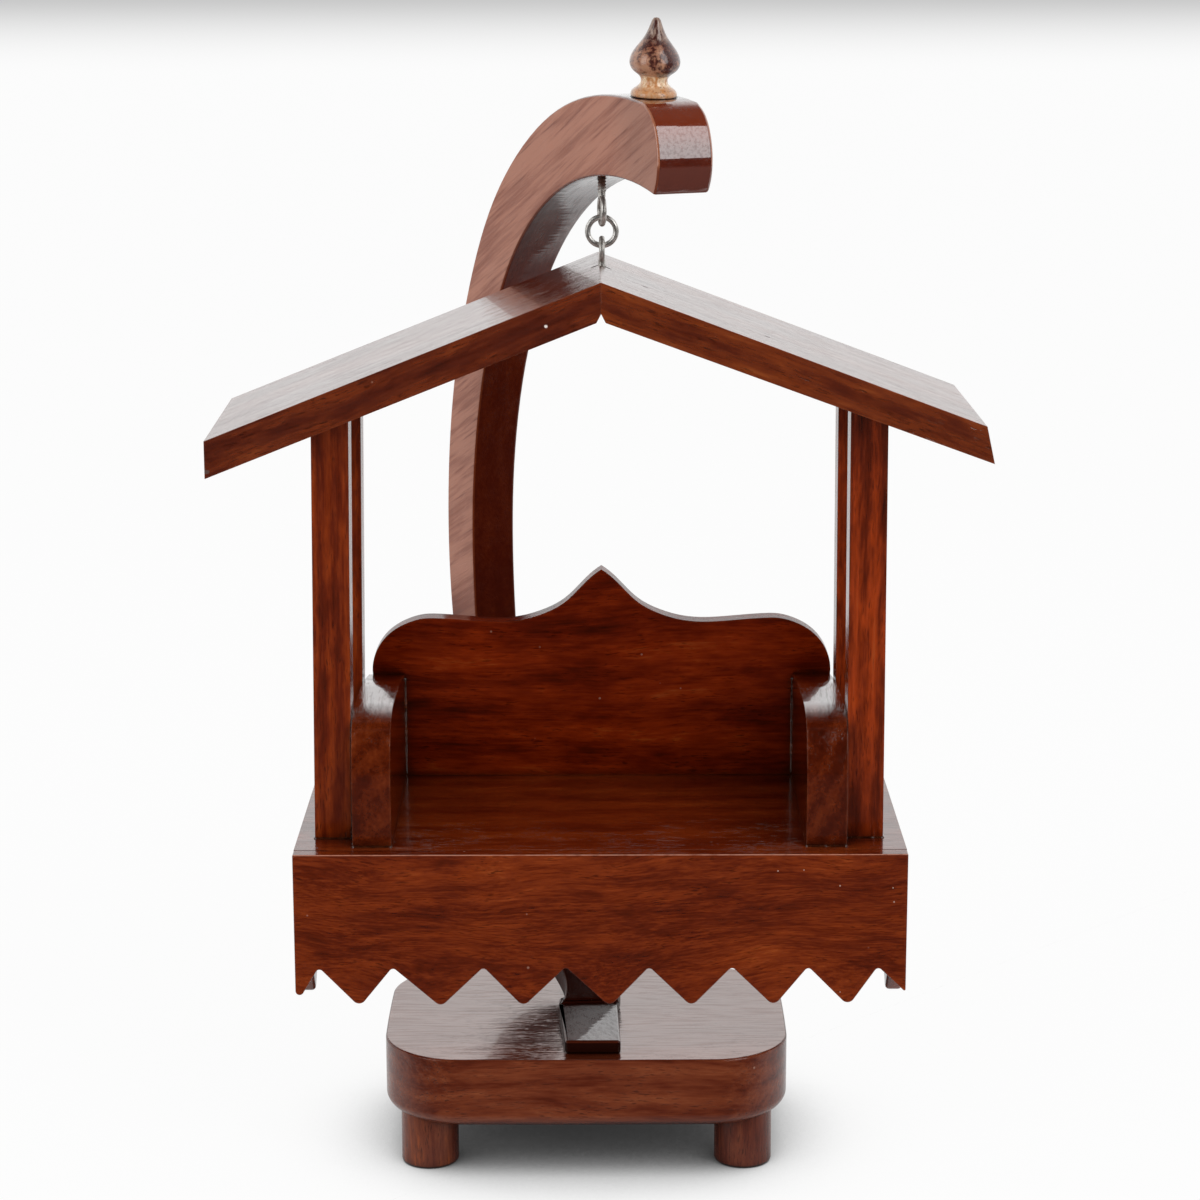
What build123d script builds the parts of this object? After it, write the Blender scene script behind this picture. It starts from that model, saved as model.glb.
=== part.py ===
from build123d import *
from math import cos, radians, sin
import os

os.makedirs("parts", exist_ok=True)

# Miniature canopy swing hung from a crescent arm, for a household deity.
# Millimetres, +Z up, -Y is the front, X runs to the viewer's right.
# The origin is on the floor under the centre of the base slab.

# ---- base ----
BASE_LENGTH = 146.7
BASE_DEPTH = 99.4
BASE_THICKNESS = 24.4
BASE_CORNER = 20.0
BASE_LOWER_EDGE = 6.0
BASE_UPPER_EDGE = 0.8
FOOT_RADIUS = 10.5
FOOT_HEIGHT = 21.1
FOOT_INSET_X = 15.65
FOOT_INSET_Y = 17.7
FOOT_SPACING_X = BASE_LENGTH / 2 - FOOT_INSET_X
FOOT_SPACING_Y = BASE_DEPTH / 2 - FOOT_INSET_Y
FOOT_SPIGOT_RADIUS = 5.0
FOOT_SPIGOT_LENGTH = 9.0
FOOT_EDGE = 1.2
SPIGOT_CLEARANCE = 0.05
BASE_BOTTOM = FOOT_HEIGHT
BASE_TOP = BASE_BOTTOM + BASE_THICKNESS

# ---- where things hang, measured from the base centre ----
SWING_X = 5.3
HANG_X = 6.3

# ---- crescent arm, in its own upright plane ----
ARM_TURN = 67.0
ARM_FOOT_TURN = 85.0
ARM_CENTRE_S = 30.0
ARM_RADIUS = 171.0
ARM_HEEL_SINK = 4.5
ARM_CENTRE_Z = BASE_TOP + ARM_RADIUS - ARM_HEEL_SINK
ARM_THICKNESS = 17.5
ARM_FOOT_THICKNESS = 20.6
# angle round the crescent, outer edge beyond the named radius, width of the arm
ARM_STATIONS = [
    (74.0, 6.8, 27.9),
    (84.0, 6.6, 28.0),
    (95.0, 6.2, 28.0),
    (107.0, 5.9, 27.9),
    (120.0, 4.9, 27.5),
    (134.0, 3.4, 27.8),
    (148.0, 0.2, 27.8),
    (162.0, -1.2, 28.7),
    (177.0, -1.7, 28.6),
    (190.0, -0.8, 28.1),
    (202.0, 0.4, 25.0),
    (214.0, 1.4, 19.6),
    (227.0, 1.6, 15.4),
    (240.0, 0.6, 12.6),
    (251.0, -0.6, 10.4),
    (261.0, -1.4, 7.4),
]
# the limb stays in its plane almost to the toe, and swells a little on the way down
ARM_TWIST_START = 238.0
ARM_TWIST_END = 262.0
ARM_SWELL_START = 196.0
ARM_SWELL_END = 250.0
# the crown is thicker too, on its far side only
ARM_CROWN_EXTRA = 3.1
ARM_CROWN_START = 100.0
ARM_CROWN_END = 165.0
ARM_HEEL_X = -4.4
TOE_FRONT_Y = -44.2
TOE_BACK_Y = 2.0
TOE_THICKNESS = 5.0
TOE_TOP = BASE_TOP + TOE_THICKNESS
TOE_FRONT_X = (-12.9, 7.3)
TOE_BACK_X = (-15.6, 6.2)
# along the arm's plane, height above the crescent's named top
NOSE_CURVE = [
    (40.0, 9.6),
    (50.0, 7.4),
    (56.4, 4.6),
    (60.4, 2.5),
    (64.2, -1.2),
    (66.6, -5.8),
    (67.9, -10.8),
    (68.0, -15.8),
    (66.7, -21.2),
    (64.2, -25.4),
    (59.6, -31.0),
]
NOSE_WASTE_S = 95.0
ARM_UNDERSIDE = ARM_CENTRE_Z + ARM_RADIUS - 25.1

# ---- finial ----
FINIAL_S = 41.5
FINIAL_SEAT_RISE = 5.6
FINIAL_LEAN = 5.0
FINIAL_PROFILE = [
    (7.5, 0.0),
    (7.9, 1.0),
    (7.8, 2.2),
    (6.4, 3.6),
    (4.9, 5.0),
    (4.6, 6.4),
    (5.2, 7.6),
    (7.2, 9.2),
    (8.5, 11.2),
    (8.6, 13.2),
    (7.7, 15.6),
    (5.7, 18.4),
    (3.7, 21.2),
    (2.4, 24.0),
    (1.5, 26.4),
]
FINIAL_HEIGHT = 27.4
FINIAL_DOWEL_RADIUS = 1.75
FINIAL_DOWEL_LENGTH = 16.0

# ---- screw eyes and ring ----
RING_DROP = 43.6
RING_CENTRE_Z = ARM_CENTRE_Z + ARM_RADIUS - RING_DROP
RING_WIRE = 1.02
RING_RADIUS = 5.03
EYE_WIRE = 1.05
EYE_GAP = 0.3
UPPER_EYE_RADIUS = 4.7
LOWER_EYE_RADIUS = 3.75
UPPER_EYE_TURN = 8.0
EYE_SHANK_RADIUS = 1.3
SHANK_CLEARANCE = 0.03
UPPER_SHANK_DEPTH = 12.0
LOWER_SHANK_DEPTH = 10.5

# ---- seat ----
RING_TO_RIDGE = 12.0
RIDGE_Z = RING_CENTRE_Z - RING_TO_RIDGE
SEAT_HALF = 109.2
SEAT_FRONT_Y = -55.6
SEAT_BACK_Y = 55.0
RIDGE_TO_SEAT = 202.6
SEAT_TOP = RIDGE_Z - RIDGE_TO_SEAT
SEAT_THICKNESS = 12.0
SEAT_UNDERSIDE = SEAT_TOP - SEAT_THICKNESS
FASCIA_THICKNESS = 6.0
FASCIA_HEIGHT = 57.0
TOOTH_HEIGHT = 15.0
TOOTH_TIP_Z = SEAT_TOP - FASCIA_HEIGHT
TOOTH_VALLEY_Z = TOOTH_TIP_Z + TOOTH_HEIGHT
TOOTH_TIPS = [-86.3, -57.2, -27.7, 3.3, 32.6, 62.1, 88.8]
TOOTH_VALLEYS = [-100.7, -74.3, -41.8, -12.4, 17.4, 47.0, 74.2, 99.1]
TOOTH_TIP_ROUND = 2.6
TOOTH_VALLEY_ROUND = 1.4
LEFT_END_TOOTH_Z = TOOTH_TIP_Z + 0.6
LEFT_END_ROUND = 1.5
RIGHT_END_TOOTH_Z = TOOTH_TIP_Z + 5.2
RIGHT_END_ROUND = 0.5
SKIRT_THICKNESS = 6.0
SKIRT_TIPS = [-40.6, -8.2, 21.2]
SKIRT_VALLEYS = [-52.4, -22.9, 6.5, 36.0]

# ---- roof ----
ROOF_FRONT_Y = -52.0
ROOF_DEPTH = 93.5
ROOF_DROP = 13.2
ROOF_YAW = 0.7
LEFT_EAVE_X = -SEAT_HALF - 27.7
LEFT_EAVE_Z = RIDGE_Z - 54.3
RIGHT_EAVE_X = SEAT_HALF + 24.0
RIGHT_EAVE_Z = RIDGE_Z - 50.2
RIGHT_EAVE_FLARE = 2.9
MITRE_NOTCH = 1.6
RIDGE_PIN_RADIUS = 0.8
RIDGE_PIN_LENGTH = 22.0

# ---- posts ----
POST_SIZE = 13.2
POST_FRONT_Y = -35.8
POST_REAR_Y = 21.3
POST_FOOT_INNER = (19.6 - SEAT_HALF, SEAT_HALF - 20.5)
POST_TOP_INNER = (22.0 - SEAT_HALF, SEAT_HALF - 21.6)
DOWEL_RADIUS = 2.0
DOWEL_LENGTH = 16.0
SCREW_RADIUS = 1.5
SCREW_HEAD_RADIUS = 3.0
SCREW_HEAD_HEIGHT = 1.8
SCREW_LENGTH = 26.0

# ---- armrests and backrest ----
ARMREST_INNER = (34.6 - SEAT_HALF, SEAT_HALF - 35.6)
ARMREST_OUTER = (20.7 - SEAT_HALF, SEAT_HALF - 21.1)
# heights above the seat
ARMREST_FRONT = [(-46.2, 9.2), (-46.2, 21.2), (-44.6, 32.2), (-41.0, 40.7), (-34.5, 44.8)]
ARMREST_TOP = [(-15.0, 46.2), (12.0, 45.0)]
ARMREST_REAR_HEIGHT = 40.2
BACKREST_Y = 46.5
BACKREST_THICKNESS = 8.0
BACKREST_HALF = SEAT_HALF - 21.6
BACKREST_CENTRE = 0.6
BACKREST_SCREW_X = 55.0
BACKREST_PEAK = [(0.0, 81.2), (5.2, 77.1), (14.0, 68.4), (22.6, 63.8), (31.0, 61.4)]
BACKREST_SHOULDER = [(38.0, 60.7), (50.0, 61.3), (62.0, 62.2), (68.0, 62.1), (74.6, 60.2)]
BACKREST_END = [(80.0, 57.1), (84.4, 52.4), (87.2, 46.2), (BACKREST_HALF, 40.2)]


def swing_place(shape: Part) -> Part:
    """Move a piece drawn about the swing's own middle to its place."""
    return Pos(SWING_X, 0, 0) * shape


def save(shape: Part, name: str) -> None:
    """Write one node as one STEP file."""
    export_step(shape, f"parts/{name}.step")


def save_group(shapes, name: str) -> None:
    """Write separate pieces of the swing as one node."""
    save(Compound(children=[swing_place(shape) for shape in shapes]), name)


def box(x0, x1, y0, y1, z0, z1) -> Part:
    """Block between two corners."""
    size = Box(x1 - x0, y1 - y0, z1 - z0)
    return Pos((x0 + x1) / 2, (y0 + y1) / 2, (z0 + z1) / 2) * size


def rod(x, y, z0, z1, radius) -> Part:
    """Upright round rod from z0 to z1."""
    return Pos(x, y, (z0 + z1) / 2) * Cylinder(radius, z1 - z0)


def wood_screw(x, y, z0, length, direction=1) -> Part:
    """Countersunk screw with its head face at z0, driven upwards."""
    head = Cone(SCREW_HEAD_RADIUS, SCREW_RADIUS, SCREW_HEAD_HEIGHT)
    shank = Cylinder(SCREW_RADIUS, length - SCREW_HEAD_HEIGHT - 3.0)
    point = Cone(SCREW_RADIUS, 0.3, 3.0)
    shank_z = SCREW_HEAD_HEIGHT + (length - SCREW_HEAD_HEIGHT - 3.0) / 2
    screw = Pos(0, 0, SCREW_HEAD_HEIGHT / 2) * head
    screw += Pos(0, 0, shank_z) * shank
    screw += Pos(0, 0, length - 1.5) * point
    return Pos(x, y, z0) * screw


# ---------------------------------------------------------------- base slab
def plan_slab(length, depth, corner, height) -> Part:
    """Rounded rectangular slab standing on z = 0."""
    return extrude(RectangleRounded(length, depth, corner), height)


FEET = {
    "foot_front_left": (-FOOT_SPACING_X, -FOOT_SPACING_Y),
    "foot_front_right": (FOOT_SPACING_X, -FOOT_SPACING_Y),
    "foot_rear_left": (-FOOT_SPACING_X, FOOT_SPACING_Y),
    "foot_rear_right": (FOOT_SPACING_X, FOOT_SPACING_Y),
}

ARM_SCREW_SPOTS = [(SWING_X - 2.8, -33.0), (SWING_X - 3.4, -15.0)]
HEEL_SCREW_SPOT = (SWING_X - 4.6, -1.0)


def toe_screws() -> Part:
    """Screws that hold the arm's toe down, their heads sunk in the slab."""
    screws = []
    for x, y in ARM_SCREW_SPOTS:
        screws.append(wood_screw(x, y, BASE_BOTTOM + 1.0, TOE_TOP - BASE_BOTTOM - 2.6))
    screws.append(wood_screw(*HEEL_SCREW_SPOT, BASE_BOTTOM + 1.0, 28.5))
    return screws


arm_screw_list = toe_screws()
slab = Pos(0, 0, BASE_BOTTOM) * plan_slab(BASE_LENGTH, BASE_DEPTH, BASE_CORNER, BASE_TOP - BASE_BOTTOM)
slab = fillet(slab.edges().group_by(Axis.Z)[0], BASE_LOWER_EDGE)
slab = fillet(slab.edges().group_by(Axis.Z)[-1], BASE_UPPER_EDGE)
for x, y in FEET.values():
    socket_top = BASE_BOTTOM + FOOT_SPIGOT_LENGTH + 0.4
    slab -= rod(x, y, BASE_BOTTOM - 1, socket_top, FOOT_SPIGOT_RADIUS + SPIGOT_CLEARANCE)
for screw in arm_screw_list:
    slab -= screw
for x, y in ARM_SCREW_SPOTS + [HEEL_SCREW_SPOT]:
    slab -= rod(x, y, BASE_BOTTOM - 1, BASE_BOTTOM + 1.0, SCREW_HEAD_RADIUS)
save(slab, "base_slab")

for name, (x, y) in FEET.items():
    disc = Cylinder(FOOT_RADIUS, BASE_BOTTOM)
    disc = fillet(disc.edges().group_by(Axis.Z)[0], FOOT_EDGE)
    foot = Pos(x, y, BASE_BOTTOM / 2) * disc
    foot += rod(x, y, BASE_BOTTOM, BASE_BOTTOM + FOOT_SPIGOT_LENGTH, FOOT_SPIGOT_RADIUS)
    save(foot, name)


# ------------------------------------------------------------- crescent arm
def eased(angle, start, end) -> float:
    """Smooth step from 0 to 1 as an angle round the crescent goes from start to end."""
    u = (angle - start) / (end - start)
    u = min(max(u, 0.0), 1.0)
    return u * u * (3 - 2 * u)


def arm_point(s, z, blend) -> Vector:
    """Point on the arm's middle surface, s along its plane from the hanging axis."""
    turn = radians(ARM_TURN)
    y = -s * sin(turn)
    upper_x = HANG_X + s * cos(turn)
    lower_x = SWING_X + ARM_HEEL_X - y * cos(radians(ARM_FOOT_TURN))
    return Vector(upper_x + (lower_x - upper_x) * blend, y, z)


def arm_section(angle, beyond, width) -> Face:
    """Rectangular section through the arm, square to its run."""
    blend = eased(angle, ARM_TWIST_START, ARM_TWIST_END)
    swell = eased(angle, ARM_SWELL_START, ARM_SWELL_END)
    turn = radians(ARM_TURN + (ARM_FOOT_TURN - ARM_TURN) * blend)
    extra = ARM_CROWN_EXTRA * (1 - eased(angle, ARM_CROWN_START, ARM_CROWN_END))
    thickness = ARM_THICKNESS + (ARM_FOOT_THICKNESS - ARM_THICKNESS) * swell + extra
    outer = ARM_RADIUS + beyond
    inner = outer - width
    c, s = cos(radians(angle)), sin(radians(angle))
    far = arm_point(ARM_CENTRE_S + outer * c, ARM_CENTRE_Z + outer * s, blend)
    near = arm_point(ARM_CENTRE_S + inner * c, ARM_CENTRE_Z + inner * s, blend)
    across = Vector(-sin(turn), -cos(turn), 0)
    out = (far - near).normalized()
    across = (across - out * across.dot(out)).normalized()
    middle = (far + near) * 0.5 - across.normalized() * (extra / 2)
    plane = Plane(origin=middle, x_dir=out, z_dir=out.cross(across))
    return plane * Rectangle((far - near).length, thickness)


ARM_PLANE = Plane(
    origin=(HANG_X, 0, ARM_CENTRE_Z + ARM_RADIUS),
    x_dir=(cos(radians(ARM_TURN)), -sin(radians(ARM_TURN)), 0),
    z_dir=(-sin(radians(ARM_TURN)), -cos(radians(ARM_TURN)), 0),
)

limb = loft([arm_section(*station) for station in ARM_STATIONS])
nose_back = Polyline(
    NOSE_CURVE[-1],
    (NOSE_WASTE_S, NOSE_CURVE[-1][1]),
    (NOSE_WASTE_S, NOSE_CURVE[0][1]),
    NOSE_CURVE[0],
)
nose_waste = make_face([Spline(*NOSE_CURVE), nose_back])
limb -= extrude(ARM_PLANE * nose_waste, ARM_THICKNESS, both=True)
toe_outline = Polyline(
    (TOE_FRONT_X[0], TOE_FRONT_Y),
    (TOE_FRONT_X[1], TOE_FRONT_Y),
    (TOE_BACK_X[1], TOE_BACK_Y),
    (TOE_BACK_X[0], TOE_BACK_Y),
    close=True,
)
toe = Pos(SWING_X, 0, BASE_TOP) * extrude(make_face(toe_outline), TOE_TOP - BASE_TOP)
arm = limb + toe
arm -= box(-BASE_LENGTH, BASE_LENGTH, -BASE_DEPTH, BASE_DEPTH, 0, BASE_TOP)
for screw in arm_screw_list:
    arm -= screw


# ------------------------------------------------------------------- finial
finial_at = ARM_PLANE.from_local_coords(Vector(FINIAL_S, FINIAL_SEAT_RISE, -ARM_CROWN_EXTRA / 2))
lean, turn = radians(FINIAL_LEAN), radians(ARM_TURN)
FINIAL_PLANE = Plane(
    origin=finial_at,
    x_dir=(cos(lean) * cos(turn), -cos(lean) * sin(turn), -sin(lean)),
    z_dir=(sin(lean) * cos(turn), -sin(lean) * sin(turn), cos(lean)),
)
profile = Spline(*FINIAL_PROFILE)
finial_axis = Polyline(
    FINIAL_PROFILE[-1],
    (0.9, FINIAL_HEIGHT - 0.2),
    (0, FINIAL_HEIGHT),
    (0, 0),
    FINIAL_PROFILE[0],
)
finial_face = make_face([profile, finial_axis])
finial = revolve(Plane.XZ * finial_face, Axis.Z)
finial = FINIAL_PLANE * finial
finial_seat = FINIAL_PLANE * rod(0, 0, 0, 6, 8.2)
arm -= finial_seat
dowel_low = -FINIAL_DOWEL_LENGTH * 0.55
finial_dowel = FINIAL_PLANE * rod(0, 0, dowel_low, dowel_low + FINIAL_DOWEL_LENGTH, FINIAL_DOWEL_RADIUS)
arm -= finial_dowel
finial -= finial_dowel
save(finial, "finial")
save(finial_dowel, "finial_dowel")


# ---------------------------------------------------- screw eyes and ring
def eye(centre_z, radius, turn, shank_end) -> Part:
    """Closed wire eye in the upright fore-and-aft plane with a plain shank."""
    loop = Rotation(0, 90, 0) * Torus(radius, EYE_WIRE)
    side = 1 if shank_end > centre_z else -1
    start = centre_z + side * radius
    low, high = sorted((start, shank_end - side * 2.0))
    shank = rod(0, 0, low, high, EYE_SHANK_RADIUS)
    point = Cone(EYE_SHANK_RADIUS, 0.3, 2.0)
    if side < 0:
        point = Rotation(180, 0, 0) * point
    whole = Pos(0, 0, centre_z) * loop + shank + Pos(0, 0, shank_end - side) * point
    return Pos(HANG_X, 0, 0) * (Rotation(0, 0, turn) * whole)


ring_inner = RING_RADIUS - RING_WIRE
upper_centre = RING_CENTRE_Z + ring_inner - EYE_GAP - EYE_WIRE + UPPER_EYE_RADIUS
lower_centre = RING_CENTRE_Z - ring_inner + EYE_GAP + EYE_WIRE - LOWER_EYE_RADIUS
upper_eye = eye(upper_centre, UPPER_EYE_RADIUS, UPPER_EYE_TURN, ARM_UNDERSIDE + UPPER_SHANK_DEPTH)
lower_eye = eye(lower_centre, LOWER_EYE_RADIUS, 0, RIDGE_Z - LOWER_SHANK_DEPTH)
ring = Pos(HANG_X, 0, RING_CENTRE_Z) * (Rotation(90, 0, 0) * Torus(RING_RADIUS, RING_WIRE))
eye_bore_top = ARM_UNDERSIDE + UPPER_SHANK_DEPTH + 0.3
arm -= rod(HANG_X, 0, ARM_UNDERSIDE - 8, eye_bore_top, EYE_SHANK_RADIUS + SHANK_CLEARANCE)
save(arm, "arm")
save(upper_eye, "upper_eye")
save(ring, "ring")
save(lower_eye, "lower_eye")


# --------------------------------------------------------------------- roof
def roof_turn(shape: Part) -> Part:
    """The two roof boards sit a little askew on the posts."""
    return Rotation(0, 0, ROOF_YAW) * shape


def prism_y(points, y0, y1) -> Part:
    """Extrude an X-Z outline from y0 to y1."""
    face = make_face(Polyline(*points, close=True))
    return extrude(Plane.XZ.offset(-y1) * face, y1 - y0)


ROOF_BACK_Y = ROOF_FRONT_Y + ROOF_DEPTH
left_points = [
    (0, RIDGE_Z),
    (LEFT_EAVE_X, LEFT_EAVE_Z),
    (LEFT_EAVE_X, LEFT_EAVE_Z - ROOF_DROP),
    (-MITRE_NOTCH, RIDGE_Z - ROOF_DROP - 0.7),
    (0, RIDGE_Z - ROOF_DROP + 2.4),
]
right_points = [
    (0, RIDGE_Z),
    (0, RIDGE_Z - ROOF_DROP + 2.4),
    (MITRE_NOTCH, RIDGE_Z - ROOF_DROP - 0.7),
    (RIGHT_EAVE_X + RIGHT_EAVE_FLARE, RIGHT_EAVE_Z - ROOF_DROP),
    (RIGHT_EAVE_X, RIGHT_EAVE_Z),
]
roof_left = roof_turn(prism_y(left_points, ROOF_FRONT_Y, ROOF_BACK_Y))
roof_right = roof_turn(prism_y(right_points, ROOF_FRONT_Y, ROOF_BACK_Y))
under_roof = [
    (LEFT_EAVE_X, LEFT_EAVE_Z - ROOF_DROP),
    (-MITRE_NOTCH, RIDGE_Z - ROOF_DROP - 0.7),
    (MITRE_NOTCH, RIDGE_Z - ROOF_DROP - 0.7),
    (RIGHT_EAVE_X + RIGHT_EAVE_FLARE, RIGHT_EAVE_Z - ROOF_DROP),
    (RIGHT_EAVE_X, RIDGE_Z + ROOF_DROP),
    (LEFT_EAVE_X, RIDGE_Z + ROOF_DROP),
]
above_roof = roof_turn(prism_y(under_roof, ROOF_FRONT_Y - 10, ROOF_BACK_Y + 10))

ridge_pins = []
for y in (-38.0, 27.0):
    pin = Rotation(0, 90, 0) * Cylinder(RIDGE_PIN_RADIUS, RIDGE_PIN_LENGTH)
    ridge_pins.append(roof_turn(Pos(0, y, RIDGE_Z - 7.6) * pin))
eye_hole_low = RIDGE_Z - LOWER_SHANK_DEPTH - 0.3
eye_hole = rod(HANG_X - SWING_X, 0, eye_hole_low, RIDGE_Z + 4, EYE_SHANK_RADIUS + SHANK_CLEARANCE)

# -------------------------------------------------------------------- posts
POSTS = {
    "post_front_left": (0, POST_FRONT_Y),
    "post_front_right": (1, POST_FRONT_Y),
    "post_rear_left": (0, POST_REAR_Y),
    "post_rear_right": (1, POST_REAR_Y),
}


def roof_underside(x) -> float:
    """Height of the roof boards' underside at a distance from the ridge."""
    eave_x, eave_z = ((LEFT_EAVE_X, LEFT_EAVE_Z), (RIGHT_EAVE_X, RIGHT_EAVE_Z))[x > 0]
    return RIDGE_Z - ROOF_DROP - (RIDGE_Z - eave_z) * x / eave_x


def post_blank(side, y0) -> Part:
    """Square post with the small lean it has, cut to the roof's underside."""
    out = (-1, 1)[side] * POST_SIZE / 2
    foot_x = POST_FOOT_INNER[side] + out
    top_x = POST_TOP_INNER[side] + out
    middle = y0 + POST_SIZE / 2
    low = Plane.XY.offset(SEAT_TOP) * Pos(foot_x, middle) * Rectangle(POST_SIZE, POST_SIZE)
    high = Plane.XY.offset(RIDGE_Z) * Pos(top_x, middle) * Rectangle(POST_SIZE, POST_SIZE)
    return loft([low, high]) - above_roof


post_dowels = []
post_screws = []
for name, (side, y0) in POSTS.items():
    out = (-1, 1)[side] * POST_SIZE / 2
    middle = y0 + POST_SIZE / 2
    top_x = POST_TOP_INNER[side] + out
    dowel_low = roof_underside(top_x) - DOWEL_LENGTH * 0.55
    dowel = rod(top_x, middle, dowel_low, dowel_low + DOWEL_LENGTH, DOWEL_RADIUS)
    screw = wood_screw(POST_FOOT_INNER[side] + out, middle, SEAT_UNDERSIDE, SCREW_LENGTH)
    post_dowels.append(dowel)
    post_screws.append(screw)
    save(swing_place(post_blank(side, y0) - dowel - screw), name)

for tool in post_dowels + ridge_pins + [eye_hole]:
    roof_left -= tool
    roof_right -= tool
save(swing_place(roof_left), "roof_board_left")
save(swing_place(roof_right), "roof_board_right")
save_group(ridge_pins, "ridge_pins")
save_group(post_dowels, "post_dowels")
save_group(post_screws, "post_screws")
save(Compound(children=arm_screw_list), "arm_screws")


# ------------------------------------------------------ armrests, backrest
def prism_x(outline, x0, x1) -> Part:
    """Extrude a Y-Z outline from x0 to x1."""
    return extrude(Plane.YZ.offset(x0) * outline, x1 - x0)


armrest_rear = (BACKREST_Y, ARMREST_REAR_HEIGHT)
armrest_curve = Spline(*ARMREST_FRONT, *ARMREST_TOP, armrest_rear)
armrest_face = make_face(
    [
        armrest_curve,
        Polyline(
            armrest_rear,
            (BACKREST_Y, 0),
            (ARMREST_FRONT[0][0] + 0.4, 0),
            ARMREST_FRONT[0],
        ),
    ]
)
ARMREST_SCREW_Y = (-30.0, 28.0)
armrest_screws = []
for side in (0, 1):
    middle = (ARMREST_INNER[side] + ARMREST_OUTER[side]) / 2
    for y in ARMREST_SCREW_Y:
        armrest_screws.append(wood_screw(middle, y, SEAT_UNDERSIDE, SCREW_LENGTH))

for side, name in enumerate(("armrest_left", "armrest_right")):
    x0, x1 = sorted((ARMREST_INNER[side], ARMREST_OUTER[side]))
    rest = Pos(0, 0, SEAT_TOP) * prism_x(armrest_face, x0, x1)
    for screw in armrest_screws:
        rest -= screw
    save(swing_place(rest), name)
save_group(armrest_screws, "armrest_screws")


def mirrored(points):
    """The same points on the other side of the middle, in reverse order."""
    return [(-x, z) for x, z in reversed(points)]


peak_foot = BACKREST_PEAK[-1]
shoulder = [peak_foot, *BACKREST_SHOULDER, *BACKREST_END]
end_foot = BACKREST_END[-1]
crest = [
    Spline(*mirrored(BACKREST_PEAK)),
    Spline(*BACKREST_PEAK),
    Spline(*shoulder),
    Spline(*mirrored(shoulder)),
    Polyline(end_foot, (BACKREST_HALF, 0), (-BACKREST_HALF, 0), (-BACKREST_HALF, end_foot[1])),
]
backrest = extrude(Plane.XZ.offset(-BACKREST_Y - BACKREST_THICKNESS) * make_face(crest), BACKREST_THICKNESS)
backrest = Pos(BACKREST_CENTRE, 0, SEAT_TOP) * backrest
backrest_screws = []
for x in (-BACKREST_SCREW_X, 0.0, BACKREST_SCREW_X):
    middle = BACKREST_Y + BACKREST_THICKNESS / 2
    backrest_screws.append(wood_screw(x, middle, SEAT_UNDERSIDE, SCREW_LENGTH))
for screw in backrest_screws:
    backrest -= screw
save(swing_place(backrest), "backrest")
save_group(backrest_screws, "backrest_screws")

# --------------------------------------------------------------------- seat
board_front = SEAT_FRONT_Y + FASCIA_THICKNESS
seat_board = box(-SEAT_HALF, SEAT_HALF, board_front, SEAT_BACK_Y, SEAT_UNDERSIDE, SEAT_TOP)
for screw in post_screws + armrest_screws + backrest_screws:
    seat_board -= screw
save(swing_place(seat_board), "seat_board")


def zigzag(tips, valleys, start, end) -> Face:
    """Board outline with a rounded zigzag lower edge, first coordinate along it."""
    marks = sorted([(x, TOOTH_TIP_Z) for x in tips] + [(x, TOOTH_VALLEY_Z) for x in valleys])
    marks = [m for m in marks if start[0] < m[0] < end[0]]
    outline = Polyline((start[0], SEAT_TOP), start, *marks, end, (end[0], SEAT_TOP), close=True)
    face = make_face(outline)
    low = [v for v in face.vertices() if v.Y < TOOTH_TIP_Z + 0.01]
    face = fillet(low, TOOTH_TIP_ROUND)
    high = [v for v in face.vertices() if abs(v.Y - TOOTH_VALLEY_Z) < 0.01]
    return fillet(high, TOOTH_VALLEY_ROUND)


fascia_face = zigzag(
    TOOTH_TIPS, TOOTH_VALLEYS, (-SEAT_HALF, LEFT_END_TOOTH_Z), (SEAT_HALF, RIGHT_END_TOOTH_Z)
)
for x, z, radius in (
    (-SEAT_HALF, LEFT_END_TOOTH_Z, LEFT_END_ROUND),
    (SEAT_HALF, RIGHT_END_TOOTH_Z, RIGHT_END_ROUND),
):
    corner = [v for v in fascia_face.vertices() if abs(v.X - x) < 0.01 and abs(v.Y - z) < 0.01]
    fascia_face = fillet(corner, radius)
fascia = extrude(Plane.XZ.offset(-SEAT_FRONT_Y - FASCIA_THICKNESS) * fascia_face, FASCIA_THICKNESS)
save(swing_place(fascia), "front_fascia")

skirt_start = (board_front, TOOTH_VALLEY_Z - 2.8)
skirt_end = (SEAT_BACK_Y - 2.0, TOOTH_VALLEY_Z - 7.8)
skirt_face = zigzag(SKIRT_TIPS, SKIRT_VALLEYS, skirt_start, skirt_end)
skirt_face -= Pos(0, SEAT_TOP) * Rectangle(2 * SEAT_HALF, 2 * SEAT_THICKNESS)
for name, x0 in (("side_skirt_left", -SEAT_HALF), ("side_skirt_right", SEAT_HALF - SKIRT_THICKNESS)):
    save(swing_place(prism_x(skirt_face, x0, x0 + SKIRT_THICKNESS)), name)
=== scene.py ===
"""Looks of a miniature canopy swing in lacquered sheesham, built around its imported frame."""

import logging
import math
import random
from collections.abc import Sequence
from dataclasses import dataclass, field, replace
from enum import Enum

import bmesh
import bpy
from mathutils import Matrix, Vector


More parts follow.
